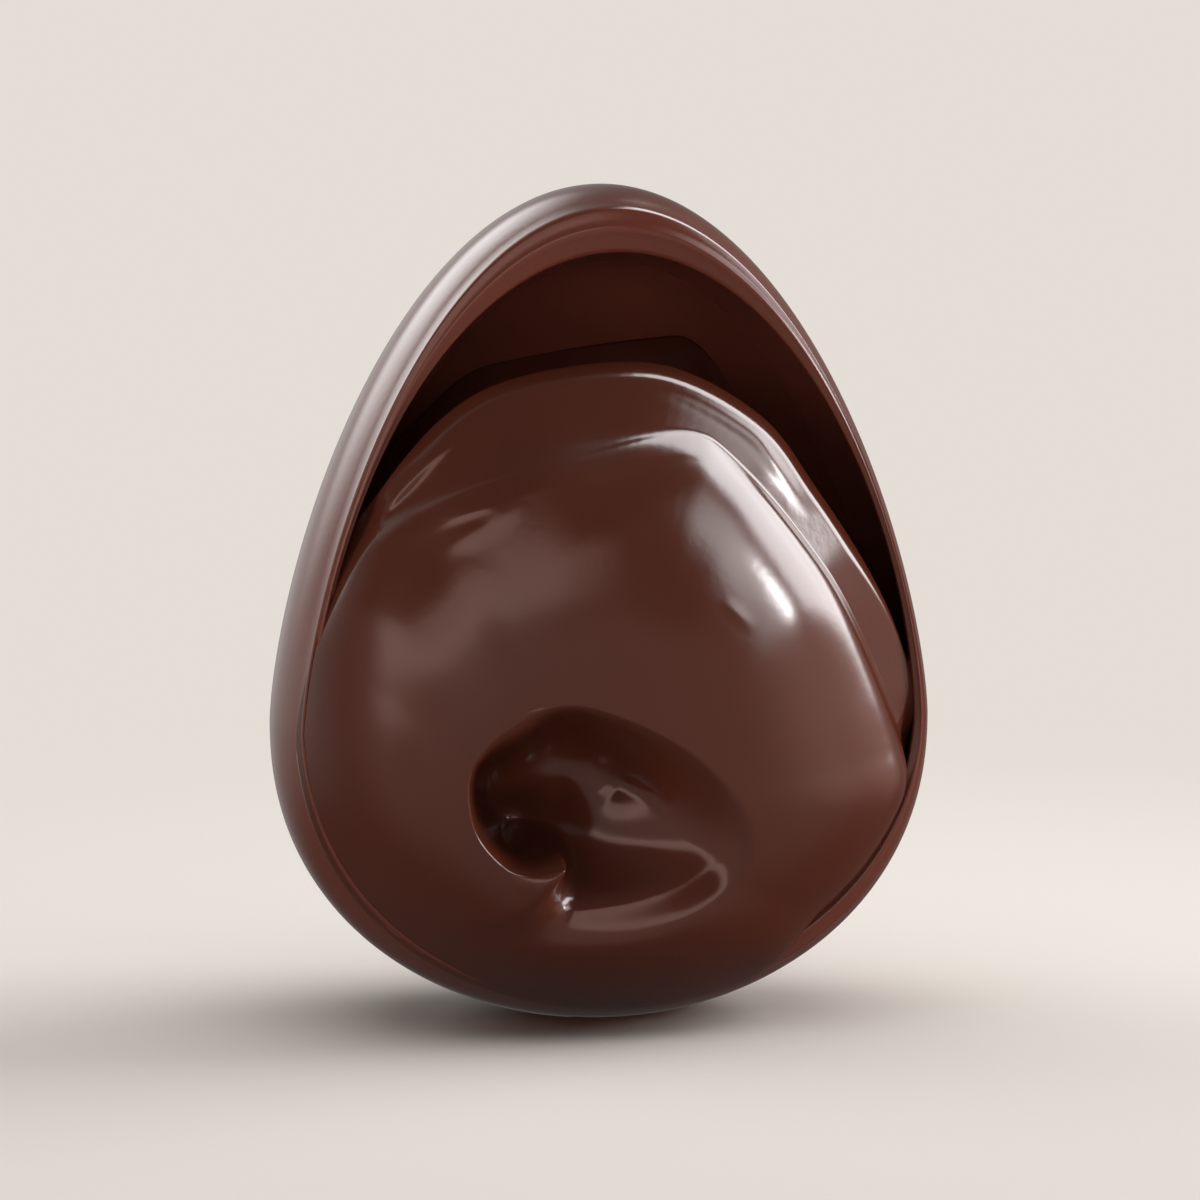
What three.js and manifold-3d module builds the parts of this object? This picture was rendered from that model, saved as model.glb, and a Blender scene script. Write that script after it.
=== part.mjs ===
// A moulded chocolate praline: half an egg shell that stands on its blunt end, filled with
// smooth chocolate cream turned into a swirl with a deep eye.
// Millimetres, +Z up. The open side faces -Y, and the origin is the centre of the small flat
// spot that the egg stands on.

import * as THREE from "three";
import { mergeVertices } from "three/addons/utils/BufferGeometryUtils.js";
import Module from "manifold-3d";

// ---- Driving dimensions, in millimetres ----

const WIDEST_HEIGHT = 14.3; // the egg is widest this far above the surface it stands on
// A top power below 2 draws the egg's top towards a point; a bottom power above 2 fills it out.
const OUTSIDE = {
  halfWidth: 16, top: 25.7, bottom: 14.6, back: 12.5, front: 11.7,
  shift: 0, topPower: 1.5, bottomPower: 2.2,
};
const CAVITY = {
  halfWidth: 15.4, top: 23.5, bottom: 13.3, back: 11, front: 11.2,
  shift: 0.15, topPower: 1.72, bottomPower: 1.9,
};
const RIM = {
  forward: 3.5, // ahead of the widest section
  drop: 0.3, // the rim's tip lies this much further back
  dropHeight: 16.7,
  lean: THREE.MathUtils.degToRad(6), // below the widest height the rim leans forward
  proud: 0.5, // how far the rounded crown stands out
};
const CLEARANCE = 0.3; // between the shell and the filling

const EYE = new THREE.Vector2(-3.6, 11.2); // centre of the swirl, across and up
const FACE_FORWARD = 10.3; // the flat of the swirl, ahead of the widest section
const FOLD = {
  edgeLift: 0.2, // the filling's edge above the rim
  lift: 1.2, // the upper fold's crest above the rim
  opening: 2.2, // the fold reaches its full height this far in from the shell's mouth
  round: 0.7, // how far in the rounding of the crest reaches
  wall: 2.2, // steepness behind the rounding, rise over run
  backDrop: 0.9, // the step back behind the crest
  backFall: 1.3, // how steeply that step falls
};
const CORNER_BLEND = 1.2; // rounding where the upper fold leaves the shell's mouth
const DOME_POWER = 2.6; // above 2 flattens the middle of the dome
const DOME_PLUNGE = 6; // the rounder the dome's shoulder, the more steeply it ends beyond its edge
const TERRACE_UNDER = 1; // how far the terrace's slope runs on under the dome
const JOIN_WIDTH = 1.5; // the terrace fades into the dome where it is narrower than this
const SHELF = {
  height: 30.97, rise: 0.16, back: 0.04, // top of the filling behind the fold
  leftStart: -4, leftReach: 7, leftFall: 3.6, // it falls away to the left wall
  rightStart: 5, rightReach: 10, rightFall: 16, // and to the right wall
};
const HOLLOW = {
  depth: 5.6, // from the flat of the swirl down to the eye's floor
  upperRound: [0.9, 0.5], // rounding of its upper edge, from the tip to the far side
  upperWidth: [3, 4], // how far in from the upper edge the full depth is reached
  lowerRound: [0.5, 0.2, 0.9], // the same at its lower edge, at three places along it
  lowerWidth: [2.6, 1.5, 3],
  bandWidth: [2.4, 5], // how far up from the bevel the full depth is reached
  bandRound: 0.2, // share of that width that is rounded
};
const BEVEL = { width: 1.8, drop: 1.35, round: 0.25, reach: 2.5, overlap: 0.9 }; // on the lower band
const CORE = { centre: new THREE.Vector2(-4.9, 9.9), depth: 2.4, width: 1.7 }; // the deepest pit
const TONGUE = { share: [0.24, 0.1], start: -0.5, reach: 4, width: 1.6 }; // ridge in the hollow
const NOSE = { lift: 0.45, reach: 2.4, start: 0.5, fade: 0.8 }; // end of the arm, over the band

// ---- How the folds change round the eye, as [degrees from the right, value] ----

const TERRACE_SLOPES = [[0, 0.5], [60, 0.55], [100, 0.65], [150, 0.55]];
const VALLEYS = [[0, 0.5], [60, 0.5], [95, 0.15], [150, 0.1], [200, 0.3]];
const DOME_ROUNDINGS = [[0, 0.5], [45, 0.5], [75, 0.65], [100, 0.8], [122, 0.72], [145, 0.6],
  [180, 0.5]];
const FOLD_BLENDS = [[0, 0.3], [50, 0.3], [75, 1], [102, 1.8], [125, 1.2], [145, 0.4]];

// ---- Lines of the swirl, seen from the front, as [across, up] ----

const UPPER_FOLD = [[-17, 13], [-14.6, 19.5], [-13.1, 23.3], [-10.3, 27.5], [-6.8, 30.5], [-2.2, 31.7],
  [2.6, 31.6], [7.1, 29.1], [9.7, 25.7], [12.1, 22], [13.8, 18.2], [14.5, 15.8], [15.3, 12.8], [16.5, 9]];
const DOME_EDGE = [[-17.5, 14], [-13.1, 22.6], [-9.6, 25.2], [-5.8, 26.6], [-1.9, 27.8], [1.2, 28.6],
  [3.4, 28.6], [4.9, 27.8], [7.7, 24.8], [10.6, 20.8], [12.8, 16.4], [14.2, 12.6], [16, 8]];
const EYE_TOP = [[7, 8], [5.9, 10.2], [4.2, 12.4], [1.8, 14.4], [-1.2, 15.9], [-3.7, 16.5], [-6.3, 15.9]];
const EYE_SIDE = [[-6.3, 15.9], [-8.3, 13.5], [-8.2, 10.7], [-6.8, 8.8], [-5.4, 8.3], [-3.9, 8.6]];
const NOSE_EDGE = [[-3.9, 8.6], [-4.5, 7.7], [-5.3, 6.8], [-6.5, 6.3], [-9, 5.6]];
const LOWER_BAND = [[8, 11.5], [6.3, 9.3], [5, 7.9], [3.5, 6.7], [1.8, 5.7], [-0.5, 5], [-3.4, 4.7],
  [-6, 4.8], [-12, 5]];
const TONGUE_CREST = [[5.9, 10.2], [2.6, 10.2], [-0.8, 10.4], [-1.8, 11.2], [-2.3, 12.1], [-3.2, 12.4],
  [-4.4, 11.3]];
const EYE_TIP = 5.9; // how far right the eye runs
const BELOW_EYE = [[-15, -5], [20, -5], [20, 10]]; // closes the region under the eye's edge

// ---- How finely the surfaces are divided ----

const SHELL_STEPS = { around: 64, outside: 9, rim: 5, inside: 8 };
const SWIRL_STEPS = { around: 88, dome: 25, terrace: 8, rear: 8 };
const CURVE_STEPS = 60;
const FINE_STEPS = 60;
const TURN_WEIGHT = 0.8; // millimetres of surface that one radian of bend counts as
const SMOOTH_REACH = 3; // rays on each side that share their spacing
const OUTER_RING = 0.9; // the dome's ring stays within this share of the way to the edge
const RIM_ROUNDS = 3; // steps that settle where the rim lies on an egg
const SHELF_ROUNDS = 40; // halvings that find where the filling's top meets the wall

const FULL_TURN = 2 * Math.PI;

// ---- Small helpers ----

const clamp01 = (value) => THREE.MathUtils.clamp(value, 0, 1);
const ease = (value) => THREE.MathUtils.smoothstep(value, 0, 1);
const { lerp } = THREE.MathUtils;

/** The larger of two heights, with the valley between them rounded over `blend`. */
function softMax(a, b, blend) {
  const overlap = Math.max(blend - Math.abs(a - b), 0);
  return Math.max(a, b) + (blend > 0 ? (overlap * overlap) / (4 * blend) : 0);
}

/** The smaller of two distances, with the corner between them rounded over `blend`. */
const softMin = (a, b, blend) => -softMax(-a, -b, blend);

/** How far a rounded edge has dropped at `inside` mm in from it; outside it falls as a wall. */
function rollOff(inside, radius, wall) {
  if (inside >= 0) return radius > 0 ? 0.5 * wall * radius * Math.max(1 - inside / radius, 0) ** 2 : 0;
  return 0.5 * wall * radius - wall * inside;
}

/** Share of a hollow's depth at `inside` mm in from its rounded edge; full at `width`. */
function fallIn(inside, rounding, width) {
  const start = rounding / width;
  const share = Math.hypot(Math.max(inside / width, 0), start) - start;
  return 1 - (1 - Math.min(share / (Math.hypot(1, start) - start), 1)) ** 2;
}

/** A straight ramp from 0 to 1 with both of its corners rounded. */
const roundedRamp = (value, rounding) =>
  0.5 + 0.5 * (Math.hypot(value, rounding) - Math.hypot(value - 1, rounding));

/** A value between evenly spaced stops, at a share of the way from the first to the last. */
function between(stops, share) {
  const place = clamp01(share) * (stops.length - 1);
  const i = Math.min(Math.floor(place), stops.length - 2);
  return lerp(stops[i], stops[i + 1], place - i);
}

/** A value that changes smoothly with direction round the eye, without overshooting its stops. */
function roundTheEye(degrees, stops) {
  const [first, value] = stops[0];
  const closed = [...stops, [first + 360, value]];
  const turned = THREE.MathUtils.euclideanModulo(degrees - first, 360) + first;
  const i = closed.findLastIndex(([at]) => at <= turned);
  const count = stops.length;
  const rates = stops.map(([at, held], k) => (closed[k + 1][1] - held) / (closed[k + 1][0] - at));
  const tangent = (k) => {
    const [before, after] = [rates[(k + count - 1) % count], rates[k % count]];
    return before * after > 0 ? (2 * before * after) / (before + after) : 0;
  };
  const width = closed[i + 1][0] - closed[i][0];
  const share = (turned - closed[i][0]) / width;
  const bend = share * (1 - share) ** 2 * tangent(i) + share ** 2 * (share - 1) * tangent(i + 1);
  return lerp(closed[i][1], closed[i + 1][1], ease(share)) + width * bend;
}

/** A smooth line through the given points. */
function smoothLine(points) {
  const curve = new THREE.SplineCurve(points.map(([x, z]) => new THREE.Vector2(x, z)));
  return curve.getPoints(CURVE_STEPS);
}

/** Distance from (x, z) to a line, and how far along the line the nearest point is, 0 to 1. */
function nearestOnLine(line, x, z) {
  let best = { distance: Infinity, along: 0 };
  for (let i = 0; i + 1 < line.length; i++) {
    const [a, b] = [line[i], line[i + 1]];
    const [dx, dz] = [b.x - a.x, b.y - a.y];
    const share = clamp01(((x - a.x) * dx + (z - a.y) * dz) / (dx * dx + dz * dz));
    const distance = Math.hypot(x - a.x - share * dx, z - a.y - share * dz);
    if (distance < best.distance) best = { distance, along: (i + share) / (line.length - 1) };
  }
  return best;
}

/** Whether (x, z) lies inside a closed outline. */
function isInside(outline, x, z) {
  let inside = false;
  for (let i = 0, j = outline.length - 1; i < outline.length; j = i++) {
    const [a, b] = [outline[i], outline[j]];
    const crosses = a.y > z !== b.y > z;
    if (crosses && x < ((b.x - a.x) * (z - a.y)) / (b.y - a.y) + a.x) inside = !inside;
  }
  return inside;
}

/** How far a line lies from the eye in the direction of an angle, from its nearest points. */
function radiusTowards(line, angle) {
  const direction = new THREE.Vector2(Math.cos(angle), Math.sin(angle));
  for (let i = 0; i + 1 < line.length; i++) {
    const a = line[i].clone().sub(EYE);
    const b = line[i + 1].clone().sub(EYE);
    const [sideA, sideB] = [direction.cross(a), direction.cross(b)];
    if (sideA * sideB > 0 || sideA === sideB) continue;
    const reach = a.lerp(b, sideA / (sideA - sideB)).dot(direction);
    if (reach > 0) return reach;
  }
  return Infinity;
}

// ---- The egg ----

/** The same egg moved outwards by `extra` everywhere. */
function grown(egg, extra) {
  const { halfWidth, top, bottom, back, front } = egg;
  return {
    ...egg,
    halfWidth: halfWidth + extra,
    top: top + extra,
    bottom: bottom + extra,
    back: back + extra,
    front: front + extra,
  };
}

/** Height of the egg's outline above or below its widest section, at an angle from the top. */
function outlineRise(egg, turn) {
  const up = Math.cos(turn);
  if (up >= 0) return egg.top * up ** (2 / egg.topPower);
  return -egg.bottom * (-up) ** (2 / egg.bottomPower);
}

/** A point of the egg's surface; `swing` runs from the back pole (-90 degrees) to the front. */
function eggPoint(egg, turn, swing) {
  const across = egg.shift * Math.cos(turn) + egg.halfWidth * Math.sin(turn);
  const depth = swing > 0 ? egg.front : egg.back;
  return new THREE.Vector3(
    across * Math.cos(swing),
    -depth * Math.sin(swing),
    WIDEST_HEIGHT + outlineRise(egg, turn) * Math.cos(swing),
  );
}

/** How far forward the rim lies at a height above the widest height. */
function rimForward(above) {
  const back = RIM.drop * (Math.max(above, 0) / RIM.dropHeight) ** 2;
  return RIM.forward - back + Math.tan(RIM.lean) * Math.max(-above, 0);
}

/** The swing at which the rim lies on the egg's surface. */
function rimSwing(egg, turn) {
  const rise = outlineRise(egg, turn);
  let swing = 0;
  for (let i = 0; i < RIM_ROUNDS; i++) swing = Math.asin(rimForward(rise * Math.cos(swing)) / egg.front);
  return swing;
}

/** Height of the filling's top behind the upper fold; it falls away towards both walls. */
function shelfHeight(x, forward) {
  const left = SHELF.leftFall * ease((SHELF.leftStart - x) / SHELF.leftReach);
  const right = SHELF.rightFall * ease((x - SHELF.rightStart) / SHELF.rightReach);
  return SHELF.height + SHELF.rise * x - SHELF.back * forward - left - right;
}

/** The swing at which the filling's top meets the wall, or the rim where it reaches the rim. */
function fillingSwing(egg, turn) {
  const isAbove = (swing) => {
    const wall = eggPoint(egg, turn, swing);
    return wall.z > shelfHeight(wall.x, -wall.y);
  };
  let [low, high] = [-Math.PI / 2, rimSwing(egg, turn)];
  if (!isAbove(high)) return { swing: high, atRim: true };
  for (let i = 0; i < SHELF_ROUNDS; i++) {
    const middle = (low + high) / 2;
    if (isAbove(middle)) high = middle;
    else low = middle;
  }
  return { swing: low, atRim: false };
}

// ---- Meshes ----

/** A closed surface through rings of equal length, from one pole to the other. */
function loft(startPole, rings, endPole) {
  const count = rings[0].length;
  const points = [startPole, ...rings.flat(), endPole];
  const index = [];
  const at = (ring, step) => 1 + ring * count + (step % count);
  for (let step = 0; step < count; step++) {
    index.push(0, at(0, step + 1), at(0, step));
    for (let ring = 0; ring + 1 < rings.length; ring++) {
      index.push(at(ring, step), at(ring, step + 1), at(ring + 1, step));
      index.push(at(ring, step + 1), at(ring + 1, step + 1), at(ring + 1, step));
    }
    index.push(at(rings.length - 1, step), at(rings.length - 1, step + 1), points.length - 1);
  }
  return new THREE.BufferGeometry().setFromPoints(points).setIndex(index);
}

/** Turns a list of profiles, one for each step around, into rings. */
function ringsOf(profiles) {
  return profiles[0].map((_, ring) => profiles.map((profile) => profile[ring]));
}

/** Places along a path, as shares of its points, that divide it evenly; a bend adds length. */
function evenShares(path, count, turnWeight) {
  const reach = [0];
  for (let i = 1; i < path.length; i++) {
    const step = path[i].clone().sub(path[i - 1]);
    const next = path[Math.min(i + 1, path.length - 1)].clone().sub(path[i]);
    const bend = next.lengthSq() > 0 && step.lengthSq() > 0 ? step.angleTo(next) : 0;
    reach.push(reach[i - 1] + step.length() + turnWeight * bend);
  }
  const shares = [];
  for (let k = 0, i = 1; k <= count; k++) {
    const wanted = (reach.at(-1) * k) / count;
    while (i < path.length - 1 && reach[i] < wanted) i++;
    const within = clamp01((wanted - reach[i - 1]) / Math.max(reach[i] - reach[i - 1], 1e-9));
    shares.push((i - 1 + within) / (path.length - 1));
  }
  return shares;
}

/** The point at a share of a path. */
function pointAt(path, share) {
  const place = share * (path.length - 1);
  const i = Math.min(Math.floor(place), path.length - 2);
  return path[i].clone().lerp(path[i + 1], place - i);
}

/** Averages each list of numbers with its neighbours in a closed round of lists. */
function averageRound(lists, reach) {
  return lists.map((list, at) => list.map((_, k) => {
    let sum = 0;
    for (let near = -reach; near <= reach; near++) sum += lists.at((at + near) % lists.length)[k];
    return sum / (2 * reach + 1);
  }));
}

/** Numbers from `start` to `end` in equal steps, both ends included. */
function spread(start, end, steps) {
  return Array.from({ length: steps + 1 }, (_, i) => start + ((end - start) * i) / steps);
}

// ---- The shell ----

/** The shell's section at one angle: out round the back, over the rounded rim, and back inside. */
function shellProfile(turn) {
  const { outside, rim, inside } = SHELL_STEPS;
  const outer = spread(-Math.PI / 2, rimSwing(OUTSIDE, turn), outside).slice(1)
    .map((swing) => eggPoint(OUTSIDE, turn, swing));
  const inner = spread(rimSwing(CAVITY, turn), -Math.PI / 2, inside).slice(0, -1)
    .map((swing) => eggPoint(CAVITY, turn, swing));
  const centre = outer.at(-1).clone().add(inner[0]).multiplyScalar(0.5);
  const half = outer.at(-1).clone().sub(centre);
  const proud = new THREE.Vector3(0, -Math.cos(RIM.lean), Math.sin(RIM.lean)).multiplyScalar(RIM.proud);
  const crown = spread(0, Math.PI, rim).slice(1, -1).map((angle) =>
    centre.clone().addScaledVector(half, Math.cos(angle)).addScaledVector(proud, Math.sin(angle)));
  return [...outer, ...crown, ...inner];
}

function shellGeometry() {
  const profiles = Array.from({ length: SHELL_STEPS.around }, (_, step) =>
    shellProfile((-FULL_TURN * step) / SHELL_STEPS.around));
  const outerPole = new THREE.Vector3(0, OUTSIDE.back, WIDEST_HEIGHT);
  const innerPole = new THREE.Vector3(0, CAVITY.back, WIDEST_HEIGHT);
  return loft(outerPole, ringsOf(profiles), innerPole);
}

// ---- The swirl ----

const FILLED = grown(CAVITY, -CLEARANCE);
const LINES = {
  upperFold: smoothLine(UPPER_FOLD),
  domeEdge: smoothLine(DOME_EDGE),
  eyeTop: smoothLine(EYE_TOP),
  eyeSide: smoothLine(EYE_SIDE),
  noseEdge: smoothLine(NOSE_EDGE),
  lowerBand: smoothLine(LOWER_BAND),
  tongue: smoothLine(TONGUE_CREST),
};
const LOWER_EDGE = [...LINES.eyeSide, ...LINES.noseEdge.slice(1)];
const UNDER_EDGE = [...LINES.eyeTop.filter(({ y }) => y > EYE_TOP[1][1]), ...LOWER_EDGE,
  ...BELOW_EYE.map(([x, z]) => new THREE.Vector2(x, z))];
const MOUTH = spread(0, FULL_TURN, 4 * CURVE_STEPS).map((turn) => {
  const point = eggPoint(FILLED, turn, rimSwing(FILLED, turn));
  return new THREE.Vector2(point.x, point.z);
});

/** Height of the lower band's crest at a place across the swirl. */
function bandHeight(x) {
  const line = LINES.lowerBand;
  let i = 1;
  while (i < line.length - 1 && line[i].x > x) i++;
  const share = clamp01((x - line[i - 1].x) / (line[i].x - line[i - 1].x));
  return lerp(line[i - 1].y, line[i].y, share);
}

/** Depth of the eye below the dome: a hollow with a low tongue in it, a bevel and a deep core. */
function eyeDepth(x, z, upper, lower) {
  const upperFall = fallIn(upper.distance, between(HOLLOW.upperRound, upper.along),
    between(HOLLOW.upperWidth, upper.along));
  const lowerFall = fallIn(lower.distance, between(HOLLOW.lowerRound, lower.along),
    between(HOLLOW.lowerWidth, lower.along));
  const sides = upperFall * lowerFall;
  const fromTip = ease((EYE_TIP - x) / (EYE_TIP - EYE.x));
  const aboveBand = z - bandHeight(x);
  const bevelled = roundedRamp(aboveBand / BEVEL.width, BEVEL.round) * ease((EYE_TIP - x) / BEVEL.reach);
  const width = between(HOLLOW.bandWidth, fromTip);
  const bandFall = fallIn(aboveBand - BEVEL.overlap * BEVEL.width, HOLLOW.bandRound * width, width);
  const trough = (HOLLOW.depth - BEVEL.drop) * fromTip * bandFall;
  const ridge = between(TONGUE.share, ease((TONGUE.start - x) / TONGUE.reach))
    * Math.exp(-((nearestOnLine(LINES.tongue, x, z).distance / TONGUE.width) ** 2));
  const core = Math.hypot(x - CORE.centre.x, z - CORE.centre.y) / CORE.width;
  return (BEVEL.drop * bevelled + trough * (1 - ridge)) * sides
    + CORE.depth * Math.exp(-core * core) * lowerFall;
}

/** How far the end of the swirl's arm rides up over the band below the eye. */
function noseLift(x, z, inside) {
  const { distance, along } = nearestOnLine(LINES.noseEdge, x, z);
  const near = Math.exp(-((distance / NOSE.reach) ** 2)) * ease(NOSE.start - inside / NOSE.fade);
  return NOSE.lift * (1 - ease(along)) * near;
}

/** The dome and the terrace behind it, before the eye is sunk into them. */
function foldedHeight(ray, radius) {
  const power = roundTheEye(ray.degrees, DOME_ROUNDINGS);
  const share = clamp01(radius / ray.dome);
  const rise = FACE_FORWARD - ray.foot;
  const beyond = Math.max(radius - ray.dome, 0) * ((rise * DOME_POWER) / ray.dome);
  const dome = ray.foot + rise * (1 - share ** DOME_POWER) ** power
    - beyond * (1 + DOME_PLUNGE * (1 - power));
  const inside = ray.edge - radius;
  const gap = ray.edge - ray.dome;
  const terrace = ray.crest + ray.slope * Math.min(inside, gap + TERRACE_UNDER)
    - rollOff(inside, FOLD.round * ray.opening, FOLD.wall * ray.opening);
  const blended = softMax(dome, terrace, roundTheEye(ray.degrees, FOLD_BLENDS));
  return lerp(dome, blended, ease(gap / JOIN_WIDTH));
}

/** How far forward the swirl's surface stands at a distance from the eye along a ray. */
function surfaceForward(ray, radius) {
  const x = EYE.x + radius * ray.direction.x;
  const z = EYE.y + radius * ray.direction.y;
  const upper = nearestOnLine(LINES.eyeTop, x, z);
  const lower = nearestOnLine(LOWER_EDGE, x, z);
  const edge = Math.min(upper.distance, lower.distance);
  const within = isInside(UNDER_EDGE, x, z);
  const depth = within ? eyeDepth(x, z, upper, lower) : 0;
  return foldedHeight(ray, radius) + noseLift(x, z, within ? edge : -edge) - depth;
}

/** What one ray from the eye meets: the dome's edge, then the upper fold or the shell's mouth. */
function rayTowards(turn) {
  const { swing, atRim } = fillingSwing(FILLED, turn);
  const wall = eggPoint(FILLED, turn, swing);
  const offset = new THREE.Vector2(wall.x, wall.z).sub(EYE);
  const angle = offset.angle();
  const degrees = THREE.MathUtils.radToDeg(angle);
  const mouth = atRim ? offset.length() : radiusTowards(MOUTH, angle);
  const edge = softMin(mouth, radiusTowards(LINES.upperFold, angle), CORNER_BLEND);
  const direction = offset.normalize();
  const opening = ease((mouth - edge) / FOLD.opening);
  const height = EYE.y + edge * direction.y;
  const crest = rimForward(height - WIDEST_HEIGHT) + lerp(FOLD.edgeLift, FOLD.lift, opening);
  const dome = softMin(radiusTowards(LINES.domeEdge, angle), edge, CORNER_BLEND);
  const slope = roundTheEye(degrees, TERRACE_SLOPES);
  const foot = crest + slope * (edge - dome) - roundTheEye(degrees, VALLEYS) * ease(edge - dome);
  const stops = [0, Math.min(dome, OUTER_RING * edge), edge];
  return { swing, direction, degrees, edge, opening, crest, dome, slope, foot, stops };
}

/** The swirl's face along one ray, between two distances from the eye. */
function facePath(ray, start, end) {
  return spread(start, end, FINE_STEPS).map((radius) => new THREE.Vector3(
    EYE.x + radius * ray.direction.x,
    -surfaceForward(ray, radius),
    EYE.y + radius * ray.direction.y,
  ));
}

/** The way on from the face's edge: down behind the fold and along the shell's wall. */
function rearPath(turn, ray, edge) {
  const drop = FOLD.backDrop * ray.opening;
  const behind = edge.clone().add(new THREE.Vector3(0, drop, -FOLD.backFall * drop));
  const wall = spread(ray.swing, -Math.PI / 2, 2 * SWIRL_STEPS.rear)
    .map((swing) => eggPoint(FILLED, turn, swing));
  return [edge, behind, ...wall];
}

/** Rings of the face: the same number on every ray between two of the swirl's lines. */
function faceRounds(rays) {
  return [SWIRL_STEPS.dome, SWIRL_STEPS.terrace].map((count, section) => {
    const paths = rays.map((ray) => facePath(ray, ray.stops[section], ray.stops[section + 1]));
    const shares = averageRound(paths.map((path) => evenShares(path, count, TURN_WEIGHT)), SMOOTH_REACH);
    return paths.map((path, i) => shares[i].slice(1).map((share) => pointAt(path, share)));
  });
}

function swirlGeometry() {
  const turns = spread(0, FULL_TURN, SWIRL_STEPS.around).slice(0, -1);
  const rays = turns.map(rayTowards);
  const rounds = faceRounds(rays);
  const profiles = turns.map((turn, i) => {
    const face = rounds.flatMap((round) => round[i]);
    const path = rearPath(turn, rays[i], face.at(-1));
    const rear = evenShares(path, SWIRL_STEPS.rear, 0).slice(1, -1).map((share) => pointAt(path, share));
    return [...face, ...rear];
  });
  const [deepest] = facePath(rays[0], 0, 0);
  return loft(deepest, ringsOf(profiles), new THREE.Vector3(0, FILLED.back, WIDEST_HEIGHT));
}

// ---- Cutting the flat spot ----

const wasm = await Module();
wasm.setup();

function toSolid(geometry) {
  const bare = geometry.index ? geometry.toNonIndexed() : geometry.clone();
  bare.deleteAttribute("normal");
  bare.deleteAttribute("uv");
  const merged = mergeVertices(bare, 1e-4);
  return new wasm.Manifold(new wasm.Mesh({
    numProp: 3,
    vertProperties: merged.attributes.position.array,
    triVerts: new Uint32Array(merged.index.array),
  }));
}

function toGeometry(solid) {
  const mesh = solid.getMesh();
  const geometry = new THREE.BufferGeometry();
  geometry.setAttribute("position", new THREE.BufferAttribute(mesh.vertProperties, 3));
  geometry.setIndex(new THREE.BufferAttribute(mesh.triVerts, 1));
  return geometry;
}

/** Takes off all that lies below the surface the egg stands on, which leaves the flat spot. */
function trimFoot(geometry) {
  const size = 4 * OUTSIDE.halfWidth;
  const block = new THREE.BoxGeometry(size, size, size).translate(0, 0, -size / 2);
  return toGeometry(toSolid(geometry).subtract(toSolid(block)));
}

// ---- The praline ----

const moulded = new THREE.MeshStandardMaterial({ color: 0x4d2a20, roughness: 0.22, metalness: 0 });
const cream = new THREE.MeshStandardMaterial({ color: 0x4f2f25, roughness: 0.2, metalness: 0 });

function namedMesh(name, geometry, material) {
  geometry.computeVertexNormals();
  const mesh = new THREE.Mesh(geometry, material);
  mesh.name = name;
  return mesh;
}

const praline = new THREE.Group();
praline.name = "chocolate_praline";
praline.add(namedMesh("shell", trimFoot(shellGeometry()), moulded));
praline.add(namedMesh("swirl", swirlGeometry(), cream));

export default praline;
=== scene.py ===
"""A moulded chocolate praline: half an egg shell that stands on its blunt end, filled with
glossy chocolate cream turned into one large swirl with a deep eye.

The praline stands in the frame of its construction model: +Z is up, the open side faces -Y
and the origin is the centre of the small flat spot under the blunt end. Sizes are in
millimetres here, and in metres in the meshes.
"""

import logging
import math
from dataclasses import dataclass, replace
from enum import Enum
from typing import Callable, Sequence

import bpy
import numpy as np
from mathutils import Matrix, Vector

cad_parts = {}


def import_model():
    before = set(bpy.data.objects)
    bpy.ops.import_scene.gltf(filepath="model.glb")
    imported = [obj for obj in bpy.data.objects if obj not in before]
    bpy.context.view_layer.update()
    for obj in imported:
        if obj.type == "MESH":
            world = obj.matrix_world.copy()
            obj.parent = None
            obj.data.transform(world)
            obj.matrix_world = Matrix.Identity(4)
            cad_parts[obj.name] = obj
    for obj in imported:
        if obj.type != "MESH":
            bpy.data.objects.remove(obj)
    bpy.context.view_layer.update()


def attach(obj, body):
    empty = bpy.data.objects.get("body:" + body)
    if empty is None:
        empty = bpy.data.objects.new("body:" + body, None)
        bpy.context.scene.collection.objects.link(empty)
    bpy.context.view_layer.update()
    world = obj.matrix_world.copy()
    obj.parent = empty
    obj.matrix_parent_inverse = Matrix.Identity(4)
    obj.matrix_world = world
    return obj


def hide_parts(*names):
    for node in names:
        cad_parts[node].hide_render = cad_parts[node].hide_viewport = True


LOG = logging.getLogger("praline")

MM = 0.001
FULL_TURN = 2 * math.pi
QUARTER_TURN = math.pi / 2
UPWARDS = 2  # place of z in a point
BODY = "root"

OUTLINE_HALVINGS = 30  # halvings that find how far round the egg a place lies
SHELF_HALVINGS = 40  # halvings that find where the top of the filling meets the wall
TINY = 1e-6  # keeps a width or a length from being nothing
PARALLEL = 1e-12  # a step of a line that gains less than this runs along the ray

Stops = Sequence[tuple[float, float]]
Span = tuple[float, float]
Colour = tuple[float, float, float]


# ---- Small helpers for curves and heights ----


def ease(value: np.ndarray) -> np.ndarray:
    """Smooth step from 0 to 1, flat at both ends."""
    share = np.clip(value, 0.0, 1.0)
    return share * share * (3 - 2 * share)


def mix(first: np.ndarray, second: np.ndarray, share: np.ndarray) -> np.ndarray:
    """Blend of two values, from the first at share 0 to the second at share 1."""
    return first + (second - first) * share


def soft_max(first: np.ndarray, second: np.ndarray, blend: np.ndarray) -> np.ndarray:
    """The larger of two heights, with the valley between them rounded.

    Args:
        first: One height.
        second: The other height.
        blend: How far apart the two heights may be and still be blended.

    Returns:
        The blended height.
    """
    width = np.maximum(blend, TINY)
    overlap = np.maximum(width - np.abs(first - second), 0.0)
    return np.maximum(first, second) + overlap * overlap / (4 * width)


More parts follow.
